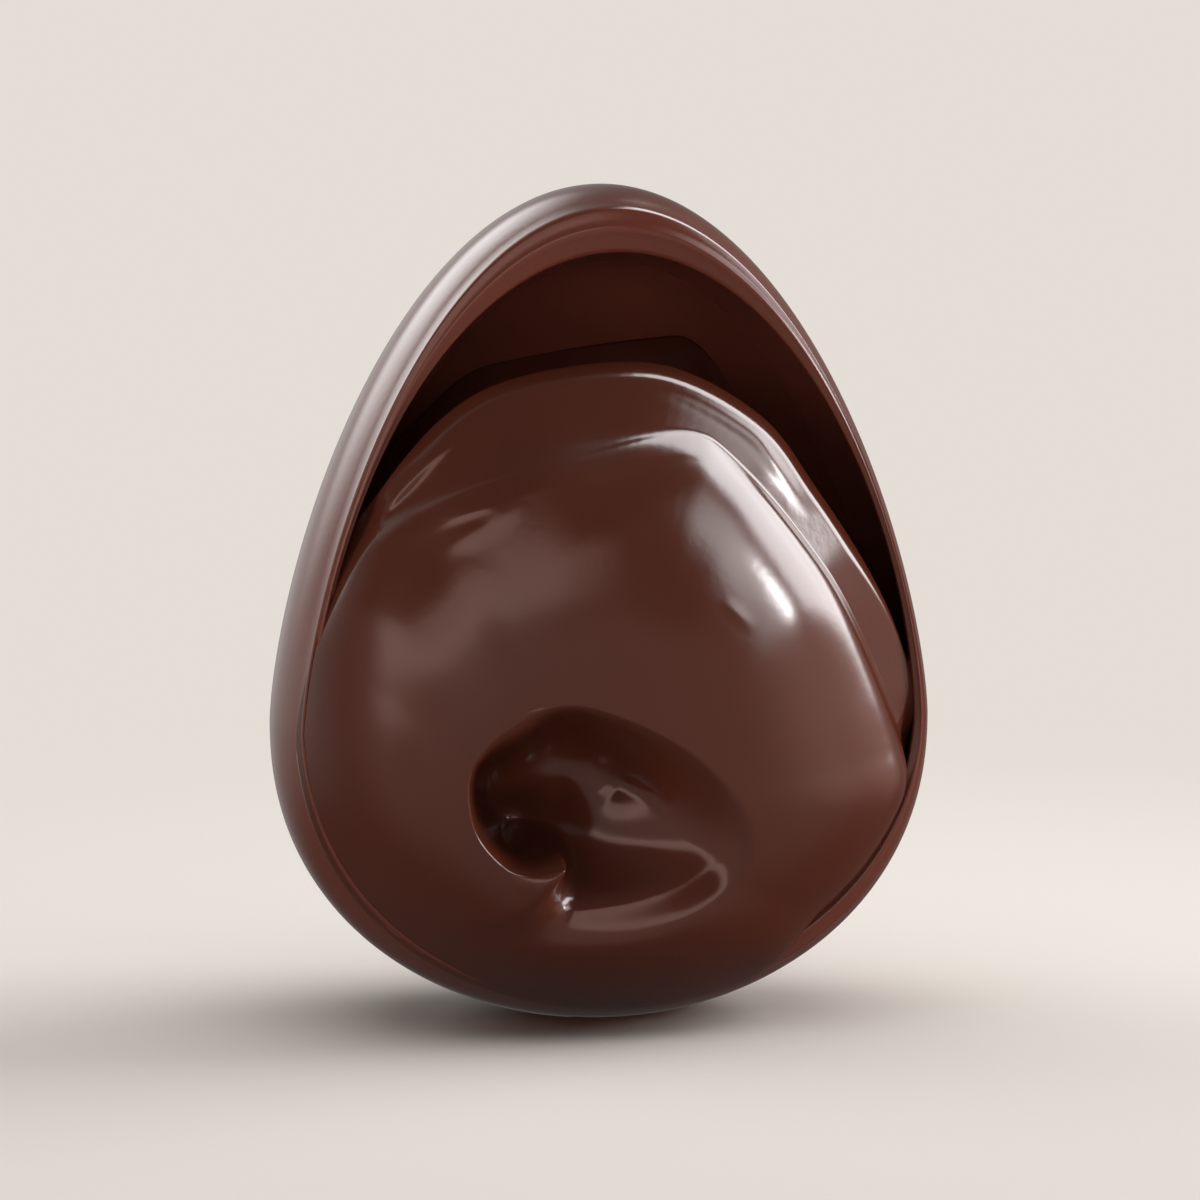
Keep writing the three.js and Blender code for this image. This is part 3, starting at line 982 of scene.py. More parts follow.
# How the folds change round the eye, as (degrees from the right, value).
TERRACE_SLOPES = ((0, 0.5), (60, 0.5), (100, 0.65), (150, 0.55))
VALLEYS = ((0, 0.5), (60, 0.5), (95, 0.15), (150, 0.1), (200, 0.3))
DOME_ROUNDINGS = (
    (0, 0.5), (45, 0.5), (75, 0.64), (100, 0.7), (122, 0.68), (145, 0.6), (180, 0.5),
)
FOLD_BLENDS = ((0, 0.3), (50, 0.3), (75, 1.0), (102, 1.8), (125, 1.2), (145, 0.4))

THREE_PLACES = (0, 0.5, 1)  # the start, the middle and the end of a line


@dataclass(frozen=True)
class Ripple:
    """A low soft ridge along a line on the cream, or a groove where its height is negative."""

    stops: Stops
    height: float
    width: float
    points: int = 40

    def height_at(self, x: np.ndarray, z: np.ndarray) -> np.ndarray:
        """Height of the ridge at places on the face; it runs out at both ends."""
        distance, along = nearest_on(smooth_line(self.stops, self.points), x, z)
        return self.height * hump(distance, self.width) * np.sin(math.pi * along)


RIPPLES = (
    Ripple(((-1, 31), (2.4, 30.6), (6, 28.6), (7.4, 27), (9.2, 24.4)), height=0.09, width=0.4),
    Ripple(
        ((-14.6, 11), (-13.6, 7.6), (-11.8, 5.3), (-9, 3.9), (-4.6, 2.4)), height=-0.12, width=0.9
    ),
    Ripple(((-13.9, 20), (-12.4, 23.4), (-9.8, 27), (-6.6, 29.7)), height=0.14, width=0.25),
    Ripple(((-13.4, 22.5), (-11.6, 24), (-9.9, 24.9)), height=0.16, width=0.5),
    Ripple(((-9.9, 25), (-8.2, 25.5), (-6.4, 25.8)), height=0.1, width=0.4),
    Ripple(((-9.8, 23.2), (-7.7, 24.5), (-5.4, 26)), height=0.07, width=0.5),
    Ripple(((3.9, 21.1), (4.8, 20.3), (5.6, 19.5)), height=0.03, width=0.3),
)


@dataclass(frozen=True)
class Fold:
    """The upper fold, which stands up above the rim where the shell is hollow behind it."""

    edge_lift: float = 0.2
    lift: float = 1.2
    opening: float = 2.2
    rounding: float = 0.7
    wall: float = 2.2
    back_drop: float = 0.9
    back_fall: float = 1.3


@dataclass(frozen=True)
class Shelf:
    """The top of the filling behind the fold; it falls away towards both walls."""

    height: float = 30.97
    rise: float = 0.16
    back: float = 0.04
    left_start: float = -4.0
    left_reach: float = 7.0
    left_fall: float = 3.6
    right_start: float = 5.0
    right_reach: float = 10.0
    right_fall: float = 16.0

    def height_at(self, x: np.ndarray, forward: np.ndarray) -> np.ndarray:
        """Height of the shelf at places seen from above.

        Args:
            x: Where the places are across.
            forward: How far ahead of the widest section they are.

        Returns:
            The heights.
        """
        flat = self.height + self.rise * x - self.back * forward
        left = self.left_fall * ease((self.left_start - x) / self.left_reach)
        return flat - left - self.right_fall * ease((x - self.right_start) / self.right_reach)


@dataclass(frozen=True)
class Film:
    """The thin film of cream that laps over the rim at the left and at the bottom.

    It starts and ends at angles in degrees round the egg, from the top towards the right. It
    laps over by a swing in radians, and takes over from the dome beyond the inner share of
    the way from the eye to the edge.
    """

    thickness: float = 0.05
    start: float = 136.0
    start_reach: float = 20.0
    end: float = 300.0
    end_reach: float = 15.0
    lap: float = 0.03
    inner_share: float = 0.5

    def outside(self) -> HalfEgg:
        """The outside of the shell with the film on it."""
        return OUTSIDE.grown(self.thickness)

    def share(self, turn: np.ndarray) -> np.ndarray:
        """How much of the rim the film covers, at angles round the egg.

        Args:
            turn: The angles, in radians.

        Returns:
            Shares from 0 to 1.
        """
        degrees = np.degrees(turn)
        started = ease((degrees - self.start) / self.start_reach)
        return started * ease((self.end - degrees) / self.end_reach)


@dataclass(frozen=True)
class Hollow:
    """The eye's hollow: its depth, and how its edges round off and fall in."""

    depth: float = 5.6
    upper_rounding: Span = (0.9, 0.5)
    upper_width: Span = (3.0, 4.0)
    lower_rounding: tuple[float, float, float] = (0.5, 0.2, 0.9)
    lower_width: tuple[float, float, float] = (2.6, 1.5, 3.0)
    band_width: Span = (2.4, 5.0)
    band_rounding: float = 0.2


@dataclass(frozen=True)
class Bevel:
    """The step down from the lower band into the eye's hollow."""

    width: float = 1.8
    drop: float = 1.18
    rounding: float = 0.25
    reach: float = 2.5
    overlap: float = 0.9


@dataclass(frozen=True)
class Core:
    """The deepest pit, in the middle of the eye."""

    across: float = -4.9
    up: float = 9.9
    depth: float = 2.4
    width: float = 1.7


@dataclass(frozen=True)
class Tongue:
    """The ridge that curls through the hollow, as a share of the hollow's depth."""

    share: Span = (0.24, 0.1)
    start: float = -0.5
    reach: float = 4.0
    width: float = 1.6


@dataclass(frozen=True)
class Nose:
    """The raised end of the arm, over the lower band."""

    lift: float = 0.35
    reach: float = 2.4
    start: float = 0.5
    fade: float = 0.8


@dataclass(frozen=True)
class Lines:
    """The lines of the swirl, each as smooth points (across, up)."""

    upper_fold: np.ndarray
    dome_edge: np.ndarray
    eye_edge: np.ndarray
    eye_top: np.ndarray
    eye_side: np.ndarray
    nose_edge: np.ndarray
    lower_band: np.ndarray
    tongue: np.ndarray

    @staticmethod
    def drawn() -> "Lines":
        """Draws every line through its stops.

        Returns:
            The lines.
        """
        return Lines(
            upper_fold=smooth_line(UPPER_FOLD),
            dome_edge=smooth_line(DOME_EDGE),
            eye_edge=smooth_line(EYE_TOP[1:] + EYE_SIDE[1:]),
            eye_top=smooth_line(EYE_TOP),
            eye_side=smooth_line(EYE_SIDE),
            nose_edge=smooth_line(NOSE_EDGE),
            lower_band=smooth_line(LOWER_BAND),
            tongue=smooth_line(TONGUE_CREST),
        )


@dataclass(frozen=True)
class Rays:
    """What each ray from the eye meets on its way out to the edge of the filling.

    Attributes:
        turn: Angle round the egg, from the top towards the right.
        swing: Swing at which the filling meets the wall or the rim.
        direction: Unit direction, as (across, up).
        degrees: Direction in degrees, anticlockwise from the right.
        edge: Distance to the edge of the face.
        opening: How open the shell is behind the edge, from 0 at the rim to 1.
        crest: How far forward the edge stands.
        dome: Distance to the edge of the dome.
        foot: How far forward the dome's edge stands.
        spill: How much of the rim the film covers.
        stops: Distances at the ends of the mesh's sections.
    """

    turn: np.ndarray
    swing: np.ndarray
    direction: np.ndarray
    degrees: np.ndarray
    edge: np.ndarray
    opening: np.ndarray
    crest: np.ndarray
    dome: np.ndarray
    foot: np.ndarray
    spill: np.ndarray
    stops: np.ndarray


@dataclass(frozen=True)
class Swirl:
    """The chocolate cream: a domed face wound about a deep eye, with folds above it."""

    eye: tuple[float, float] = (-3.6, 11.2)
    face_forward: float = 10.3
    into_wall: float = 0.25
    corner_blend: float = 1.2
    dome_power: float = 2.6
    dome_plunge: float = 6.0
    terrace_under: float = 1.0
    join_width: float = 1.5
    outer_ring: float = 0.9
    fold: Fold = Fold()
    shelf: Shelf = Shelf()
    film: Film = Film()
    hollow: Hollow = Hollow()
    bevel: Bevel = Bevel()
    core: Core = Core()
    tongue: Tongue = Tongue()
    nose: Nose = Nose()
    around: int = 400
    mouth_points: int = 721
    dome_steps: int = 150
    terrace_steps: int = 48
    rear_steps: int = 24
    fine_steps: int = 240
    turn_weight: float = 0.8
    smooth_reach: int = 8

    def filled(self) -> HalfEgg:
        """The hollow's surface, moved just into the shell's wall."""
        return CAVITY.grown(self.into_wall)

    def _filling_swing(self, turn: np.ndarray) -> tuple[np.ndarray, np.ndarray]:
        """The swing at which the top of the filling meets the wall, or the rim.

        Args:
            turn: Angles round the egg.

        Returns:
            The swing at each angle, and whether the filling reaches the rim there.
        """
        egg = self.filled()
        rim = RIM.swing(egg, turn)
        low = np.full_like(turn, -QUARTER_TURN)
        high = rim.copy()

        def above_shelf(swing: np.ndarray) -> np.ndarray:
            """How far the wall stands above the surface behind the fold."""
            wall = egg.point(turn, swing)
            return wall[:, 2] - self.shelf.height_at(wall[:, 0], -wall[:, 1])

        at_rim = above_shelf(rim) <= 0
        for _ in range(SHELF_HALVINGS):
            middle = (low + high) / 2
            over = above_shelf(middle) > 0
            high = np.where(over, middle, high)
            low = np.where(over, low, middle)
        return np.where(at_rim, rim, low), at_rim

    def _outline(self, turn: np.ndarray, swing: np.ndarray) -> np.ndarray:
        """Where the cream ends: at the hollow's wall, or on the outside under the film.

        Args:
            turn: Angles round the egg.
            swing: The swing at which the filling meets the wall, at each angle.

        Returns:
            A point for each angle.
        """
        outside = self.film.outside()
        lapped = outside.point(turn, RIM.swing(outside, turn) - self.film.lap)
        return mix(self.filled().point(turn, swing), lapped, self.film.share(turn)[:, None])

    def _rays(self, lines: Lines) -> Rays:
        """Works out the rays from the eye.

        Args:
            lines: The lines of the swirl.

        Returns:
            One entry for each ray, clockwise seen from the front.
        """
        eye = np.array(self.eye)
        turn = np.arange(self.around) * FULL_TURN / self.around
        swing, at_rim = self._filling_swing(turn)
        spill = self.film.share(turn)
        ends = self._outline(turn, swing)
        offset = ends[:, [0, 2]] - eye
        distance = np.hypot(offset[:, 0], offset[:, 1])
        direction = offset / distance[:, None]
        full = np.linspace(0, FULL_TURN, self.mouth_points)
        rim_line = self._outline(full, RIM.swing(self.filled(), full))[:, [0, 2]]
        mouth = np.where(at_rim, distance, reach_to(rim_line, eye, direction))
        edge = -soft_max(-mouth, -reach_to(lines.upper_fold, eye, direction), self.corner_blend)
        opening = ease((mouth - edge) / self.fold.opening)
        height = eye[1] + edge * direction[:, 1]
        lift = self.fold.edge_lift + (self.fold.lift - self.fold.edge_lift) * opening
        crest = mix(RIM.forward_at(height - CAVITY.widest) + lift, -ends[:, 1], spill)
        dome = -soft_max(-reach_to(lines.dome_edge, eye, direction), -edge, self.corner_blend)
        degrees = np.degrees(np.arctan2(direction[:, 1], direction[:, 0]))
        slope = round_the_eye(degrees, TERRACE_SLOPES)
        valley = round_the_eye(degrees, VALLEYS) * ease(edge - dome)
        ring = np.minimum(dome, self.outer_ring * edge)
        return Rays(
            turn=turn,
            swing=swing,
            direction=direction,
            degrees=degrees,
            edge=edge,
            opening=opening,
            crest=crest,
            dome=dome,
            foot=crest + slope * (edge - dome) - valley,
            spill=spill,
            stops=np.stack([np.zeros_like(edge), ring, edge], axis=1),
        )

    def _dome(self, rays: Rays, radius: np.ndarray) -> np.ndarray:
        """The dome, which falls away ever more steeply past its edge.

        Args:
            rays: The rays from the eye.
            radius: Distances from the eye, one row for each ray.

        Returns:
            How far forward the surface stands.
        """
        end, foot = rays.dome[:, None], rays.foot[:, None]
        power = round_the_eye(rays.degrees[:, None], DOME_ROUNDINGS)
        rise = self.face_forward - foot
        share = np.clip(radius / end, 0, 1)
        dome = foot + rise * (1 - share**self.dome_power) ** power
        beyond = np.maximum(radius - end, 0)
        return dome - beyond * rise * self.dome_power / end * (1 + self.dome_plunge * (1 - power))

    def _folded(self, rays: Rays, radius: np.ndarray) -> np.ndarray:
        """The dome and the terrace behind it, before the eye is sunk into them.

        Args:
            rays: The rays from the eye.
            radius: Distances from the eye, one row for each ray.

        Returns:
            How far forward the surface stands.
        """
        degrees, edge = rays.degrees[:, None], rays.edge[:, None]
        opening = rays.opening[:, None]
        dome = self._dome(rays, radius)
        inside = edge - radius
        gap = edge - rays.dome[:, None]
        slope = round_the_eye(degrees, TERRACE_SLOPES)
        terrace = rays.crest[:, None] + slope * np.minimum(inside, gap + self.terrace_under)
        terrace = terrace - roll_off(inside, self.fold.rounding * opening, self.fold.wall * opening)
        blended = soft_max(dome, terrace, round_the_eye(degrees, FOLD_BLENDS))
        folded = mix(dome, blended, ease(gap / self.join_width))
        x, z = self._seen(rays, radius)
        flank = np.minimum(self.film.outside().front_at(x, z), self.face_forward)
        outer = ease((radius / edge - self.film.inner_share) / (1 - self.film.inner_share))
        return mix(folded, flank, rays.spill[:, None] * outer)

    def _eye_shape(self, lines: Lines, x: np.ndarray, z: np.ndarray) -> np.ndarray:
        """The hollow of the eye, with the curling tongue in it and the nose raised beside it.

        Args:
            lines: The lines of the swirl.
            x: Where the points are across.
            z: Where the points are up.

        Returns:
            How far each point is moved forward, mostly below 0.
        """
        hollow, bevel, tongue = self.hollow, self.bevel, self.tongue
        upper, upper_along = nearest_on(lines.eye_top, x, z)
        lower, lower_along = nearest_on(np.vstack([lines.eye_side, lines.nose_edge[1:]]), x, z)
        within = inside_of(np.vstack([lines.eye_edge, lines.nose_edge, BELOW_EYE]), x, z)
        upper_rounding = mix(*hollow.upper_rounding, upper_along)
        upper_fall = fall_in(upper, upper_rounding, mix(*hollow.upper_width, upper_along))
        lower_rounding = np.interp(lower_along, THREE_PLACES, hollow.lower_rounding)
        lower_width = np.interp(lower_along, THREE_PLACES, hollow.lower_width)
        lower_fall = fall_in(lower, lower_rounding, lower_width)
        sides = upper_fall * lower_fall * within
        tip = lines.eye_edge[0, 0]
        from_tip = ease((tip - x) / (tip - self.eye[0]))
        above_band = z - np.interp(x, lines.lower_band[::-1, 0], lines.lower_band[::-1, 1])
        bevelled = smooth_step(above_band / bevel.width, bevel.rounding)
        bevelled = bevelled * ease((tip - x) / bevel.reach) * sides
        band_width = mix(*hollow.band_width, from_tip)
        past_bevel = above_band - bevel.overlap * bevel.width
        trough = (hollow.depth - bevel.drop) * from_tip * sides
        trough = trough * fall_in(past_bevel, hollow.band_rounding * band_width, band_width)
        from_tongue, _ = nearest_on(lines.tongue, x, z)
        share = mix(*tongue.share, ease((tongue.start - x) / tongue.reach))
        share = share * hump(from_tongue, tongue.width)
        from_core = np.hypot(x - self.core.across, z - self.core.up)
        pit = self.core.depth * hump(from_core, self.core.width) * lower_fall * within
        depth = bevel.drop * bevelled + trough * (1 - share) + pit
        inside = np.where(within, np.minimum(upper, lower), -np.minimum(upper, lower))
        return self._nose(lines, x, z, inside) - depth

    def _nose(self, lines: Lines, x: np.ndarray, z: np.ndarray, inside: np.ndarray) -> np.ndarray:
        """The raised end of the arm.

        Args:
            lines: The lines of the swirl.
            x: Where the points are across.
            z: Where the points are up.
            inside: How far the points are inside the eye's edge, negative outside it.

        Returns:
            How far each point is raised.
        """
        distance, along = nearest_on(lines.nose_edge, x, z)
        raised = (1 - ease(along)) * hump(distance, self.nose.reach)
        return self.nose.lift * (raised * ease(self.nose.start - inside / self.nose.fade))

    def _seen(self, rays: Rays, radius: np.ndarray) -> tuple[np.ndarray, np.ndarray]:
        """Where points of the face are, seen from the front.

        Args:
            rays: The rays from the eye.
            radius: Distances from the eye, one row for each ray.

        Returns:
            Where they are across, and where they are up.
        """
        x = self.eye[0] + radius * rays.direction[:, :1]
        return x, self.eye[1] + radius * rays.direction[:, 1:]

    def _face(self, lines: Lines, rays: Rays, radius: np.ndarray) -> np.ndarray:
        """Points of the swirl's face.

        Args:
            lines: The lines of the swirl.
            rays: The rays from the eye.
            radius: Distances from the eye, one row for each ray.

        Returns:
            The points in millimetres, along the last axis.
        """
        x, z = self._seen(rays, radius)
        rippled = sum(ripple.height_at(x, z) for ripple in RIPPLES)
        forward = self._folded(rays, radius) + self._eye_shape(lines, x, z) + rippled
        return np.stack([x, -forward, z], axis=-1)

    def _even_radii(self, lines: Lines, rays: Rays, section: int, count: int) -> np.ndarray:
        """Distances that divide one section of every ray evenly, closer where it bends.

        Args:
            lines: The lines of the swirl.
            rays: The rays from the eye.
            section: Which section between two ring stops.
            count: Number of steps in the section.

        Returns:
            The distances, one row for each ray, without the section's start.
        """
        start, end = rays.stops[:, section, None], rays.stops[:, section + 1, None]
        fine = np.linspace(0, 1, self.fine_steps + 1)
        step = np.diff(self._face(lines, rays, start + (end - start) * fine), axis=1)
        length = np.linalg.norm(step, axis=2)
        unit = step / np.maximum(length, TINY * MM)[..., None]
        bend = np.arccos(np.clip((unit[:, 1:] * unit[:, :-1]).sum(axis=2), -1, 1))
        weight = length.copy()
        weight[:, :-1] += self.turn_weight * bend
        reach = np.concatenate([np.zeros((len(weight), 1)), np.cumsum(weight, axis=1)], axis=1)
        wanted = np.linspace(0, 1, count + 1)
        shares = np.array([np.interp(wanted * row[-1], row, fine) for row in reach])
        near = range(-self.smooth_reach, self.smooth_reach + 1)
        shares = sum(np.roll(shares, k, axis=0) for k in near) / len(near)
        return start + (end - start) * shares[:, 1:]

    def _rear(self, rays: Rays, edge: np.ndarray) -> np.ndarray:
        """The way on from the face's edge: behind the fold, over the flat and down the wall.

        Args:
            rays: The rays from the eye.
            edge: The face's last point on each ray.

        Returns:
            The points, one row for each ray, without the edge and the closing pole.
        """
        half = self.rear_steps // 2
        drop = self.fold.back_drop * rays.opening[:, None]
        behind = edge + np.concatenate([0 * drop, drop, -self.fold.back_fall * drop], axis=1)
        swing = rays.swing[:, None]
        wall_swing = swing + (-QUARTER_TURN - swing) * np.linspace(0, 1, half)
        wall = self.filled().point(rays.turn[:, None], wall_swing)
        flat = np.linspace(0, 1, self.rear_steps - half + 1)[1:, None]
        shelf = behind[:, None] + (wall[:, :1] - behind[:, None]) * flat
        return np.concatenate([behind[:, None], shelf, wall[:, 1:-1]], axis=1)

    def build(self) -> bpy.types.Object:
        """Makes the swirl's mesh.

        Returns:
            The swirl, dressed, in the praline's frame.
        """
        lines = Lines.drawn()
        rays = self._rays(lines)
        steps = (self.dome_steps, self.terrace_steps)
        radii = [self._even_radii(lines, rays, part, count) for part, count in enumerate(steps)]
        face = self._face(lines, rays, np.concatenate(radii, axis=1))
        profiles = np.concatenate([face, self._rear(rays, face[:, -1])], axis=1)
        centre = self._face(lines, rays, np.zeros((self.around, 1)))[0, 0]
        back = np.array([0.0, self.filled().back, self.filled().widest])
        piece = loft("cream_swirl", centre, profiles, back)
        piece.data.materials.append(Finish.CREAM.value.make())
        return piece


def loft(name: str, start: np.ndarray, profiles: np.ndarray, end: np.ndarray) -> bpy.types.Object:
    """A closed, smooth-shaded surface through profiles that fan out from a pole to another.

    Args:
        name: Name of the new object.
        start: The pole where every profile starts.
        profiles: Points in millimetres, one row of points for each profile.
        end: The pole where every profile ends.

    Returns:
        The new object, in metres.
    """
    around, along = profiles.shape[:2]
    points = np.vstack([start, profiles.reshape(-1, 3), end]) * MM
    step = np.arange(around)
    following = (step + 1) % around
    first = 1 + step * along
    after = 1 + following * along
    ring = np.arange(along - 1)
    quads = np.stack(
        [
            (first[:, None] + ring).ravel(),
            (after[:, None] + ring).ravel(),
            (after[:, None] + ring + 1).ravel(),
            (first[:, None] + ring + 1).ravel(),
        ],
        axis=1,
    )
    last = len(points) - 1
    caps = [(0, int(after[k]), int(first[k])) for k in step]
    caps += [(last, int(first[k] + along - 1), int(after[k] + along - 1)) for k in step]
    mesh = bpy.data.meshes.new(name)
    mesh.from_pydata(points.tolist(), [], quads.tolist() + caps)
    mesh.update()
    mesh.polygons.foreach_set("use_smooth", np.ones(len(mesh.polygons), bool))
    piece = bpy.data.objects.new(name, mesh)
    bpy.context.scene.collection.objects.link(piece)
    return piece


# ---- The studio ----

Axes = tuple[Vector, Vector, Vector]


class Reach(Enum):
    """What a light does: whether it lights things up, is mirrored in gloss, and lights the floor."""

    LIGHT = (True, False, True)
    FILL = (True, False, False)
    REFLECTION = (False, True, False)


@dataclass(frozen=True)
class Softbox:
    """A soft rectangular light, placed by its bearing from the camera's line of sight.

    Its depth is measured away from the line of sight and its length round it. Its fade is
    the share of its depth and of its length that falls off softly on each side.
    """

    name: str
    off_axis: float
    bearing: float
    depth: float
    length: float
    brightness: float
    reach: Reach = Reach.LIGHT
    colour: Colour = (1.0, 1.0, 1.0)
    fade: Span = (0.25, 0.25)
    twist: float = 0.0
    distance: float = 320.0
    aim_up: float = 18.0

    def _place(self, axes: Axes) -> Matrix:
        """Where the light stands and how it is turned, towards the middle of the praline.

        Args:
            axes: The directions towards the camera, to its right and up.

        Returns:
            The light's matrix, in metres.
        """
        back, right, up = axes
        off, bearing = math.radians(self.off_axis), math.radians(self.bearing)
        side = right * math.cos(bearing) + up * math.sin(bearing)
        direction = back * math.cos(off) + side * math.sin(off)
        outward = side * math.cos(off) - back * math.sin(off)
        twist = math.radians(self.twist)
        first = outward * math.cos(twist) + direction.cross(outward) * math.sin(twist)
        turned = Matrix((first, direction.cross(first), direction)).transposed().to_4x4()
        middle = Vector((0, 0, self.aim_up * MM))
        return Matrix.Translation(middle + direction * (self.distance * MM)) @ turned

    @staticmethod
    def _all_but_the_floor() -> bpy.types.Collection:
        """The things that a light on the praline alone may reach.

        Returns:
            A collection that keeps the floor out.
        """
        name = "all but the floor"
        if name not in bpy.data.collections:
            kept_out = bpy.data.collections.new(name)
            kept_out.objects.link(bpy.data.objects["floor"])
            kept_out.collection_objects[0].light_linking.link_state = "EXCLUDE"
        return bpy.data.collections[name]

    def _soften(self, light: bpy.types.AreaLight) -> None:
        """Lets the light fall off softly towards its edges.

        Args:
            light: The light.
        """
        light.use_nodes = True
        tree = light.node_tree
        spot = tree.nodes.new("ShaderNodeNewGeometry")
        split = tree.nodes.new("ShaderNodeSeparateXYZ")
        tree.links.new(spot.outputs["Parametric"], split.inputs[0])
        across, along = (
            Field(tree, split.outputs[name]).eased(0.0, share)
            * (1.0 - Field(tree, split.outputs[name])).eased(0.0, share)
            for name, share in zip(("X", "Y"), self.fade)
        )
        tree.links.new((across * along).socket, tree.nodes["Emission"].inputs["Strength"])

    def build(self, axes: Axes) -> None:
        """Adds the light.

        Args:
            axes: The directions towards the camera, to its right and up.
        """
        light = bpy.data.lights.new(self.name, "AREA")
        light.shape = "RECTANGLE"
        light.size, light.size_y = self.depth * MM, self.length * MM
        light.energy = self.brightness * math.pi * light.size * light.size_y
        light.color = self.colour
        self._soften(light)
        lamp = bpy.data.objects.new(self.name, light)
        lamp.matrix_world = self._place(axes)
        lamp.visible_diffuse, lamp.visible_glossy, lights_floor = self.reach.value
        if not lights_floor:
            lamp.light_linking.receiver_collection = self._all_but_the_floor()
        bpy.context.scene.collection.objects.link(lamp)


SOFTBOXES = (
    # Mirrored in the right side of the swirl: its broad highlight and the spark within.
    Softbox(
        "key_softbox", off_axis=57, bearing=22, depth=160, length=240, brightness=6,
        reach=Reach.REFLECTION, fade=(0.35, 0.45), twist=8,
    ),
    Softbox(
        "key_lamp", off_axis=66, bearing=14, depth=50, length=60, brightness=45,
        reach=Reach.REFLECTION, fade=(0.4, 0.4),
    ),
    Softbox(
        "side_softbox", off_axis=88, bearing=34, depth=240, length=380, brightness=3.2,
        reach=Reach.REFLECTION, colour=(0.97, 0.93, 1.0), fade=(0.2, 0.45),
    ),
    # Light the praline and the floor, and cast the shadow.
    Softbox("overhead", off_axis=86, bearing=88, depth=640, length=640, brightness=1.34),
    Softbox("rear_light", off_axis=108, bearing=26, depth=300, length=300, brightness=5.2),
    Softbox("left_light", off_axis=108, bearing=152, depth=300, length=300, brightness=1.7),
    # Light the praline alone, and show in no reflection.
    Softbox(
        "right_light", off_axis=92, bearing=5, depth=80, length=240, brightness=80,
        reach=Reach.FILL, colour=(1.0, 0.88, 0.78),
    ),
    Softbox(
        "left_fill", off_axis=58, bearing=170, depth=120, length=240, brightness=20,
        reach=Reach.FILL,
    ),
    Softbox(
        "front_fill", off_axis=3, bearing=90, depth=50, length=460, brightness=15,
        reach=Reach.FILL, fade=(0.1, 0.2),
    ),
    Softbox(
        "low_fill", off_axis=14, bearing=268, depth=60, length=460, brightness=5,
        reach=Reach.FILL, fade=(0.1, 0.2),
    ),
    # Mirrored along the edges of the shell.
    Softbox(
        "back_card_right", off_axis=98, bearing=44, depth=320, length=460, brightness=10,
        reach=Reach.REFLECTION, fade=(0.12, 0.12),
    ),
    Softbox(
        "back_card_left", off_axis=125, bearing=132, depth=220, length=400, brightness=4.6,
        reach=Reach.REFLECTION, fade=(0.35, 0.45),
    ),
)


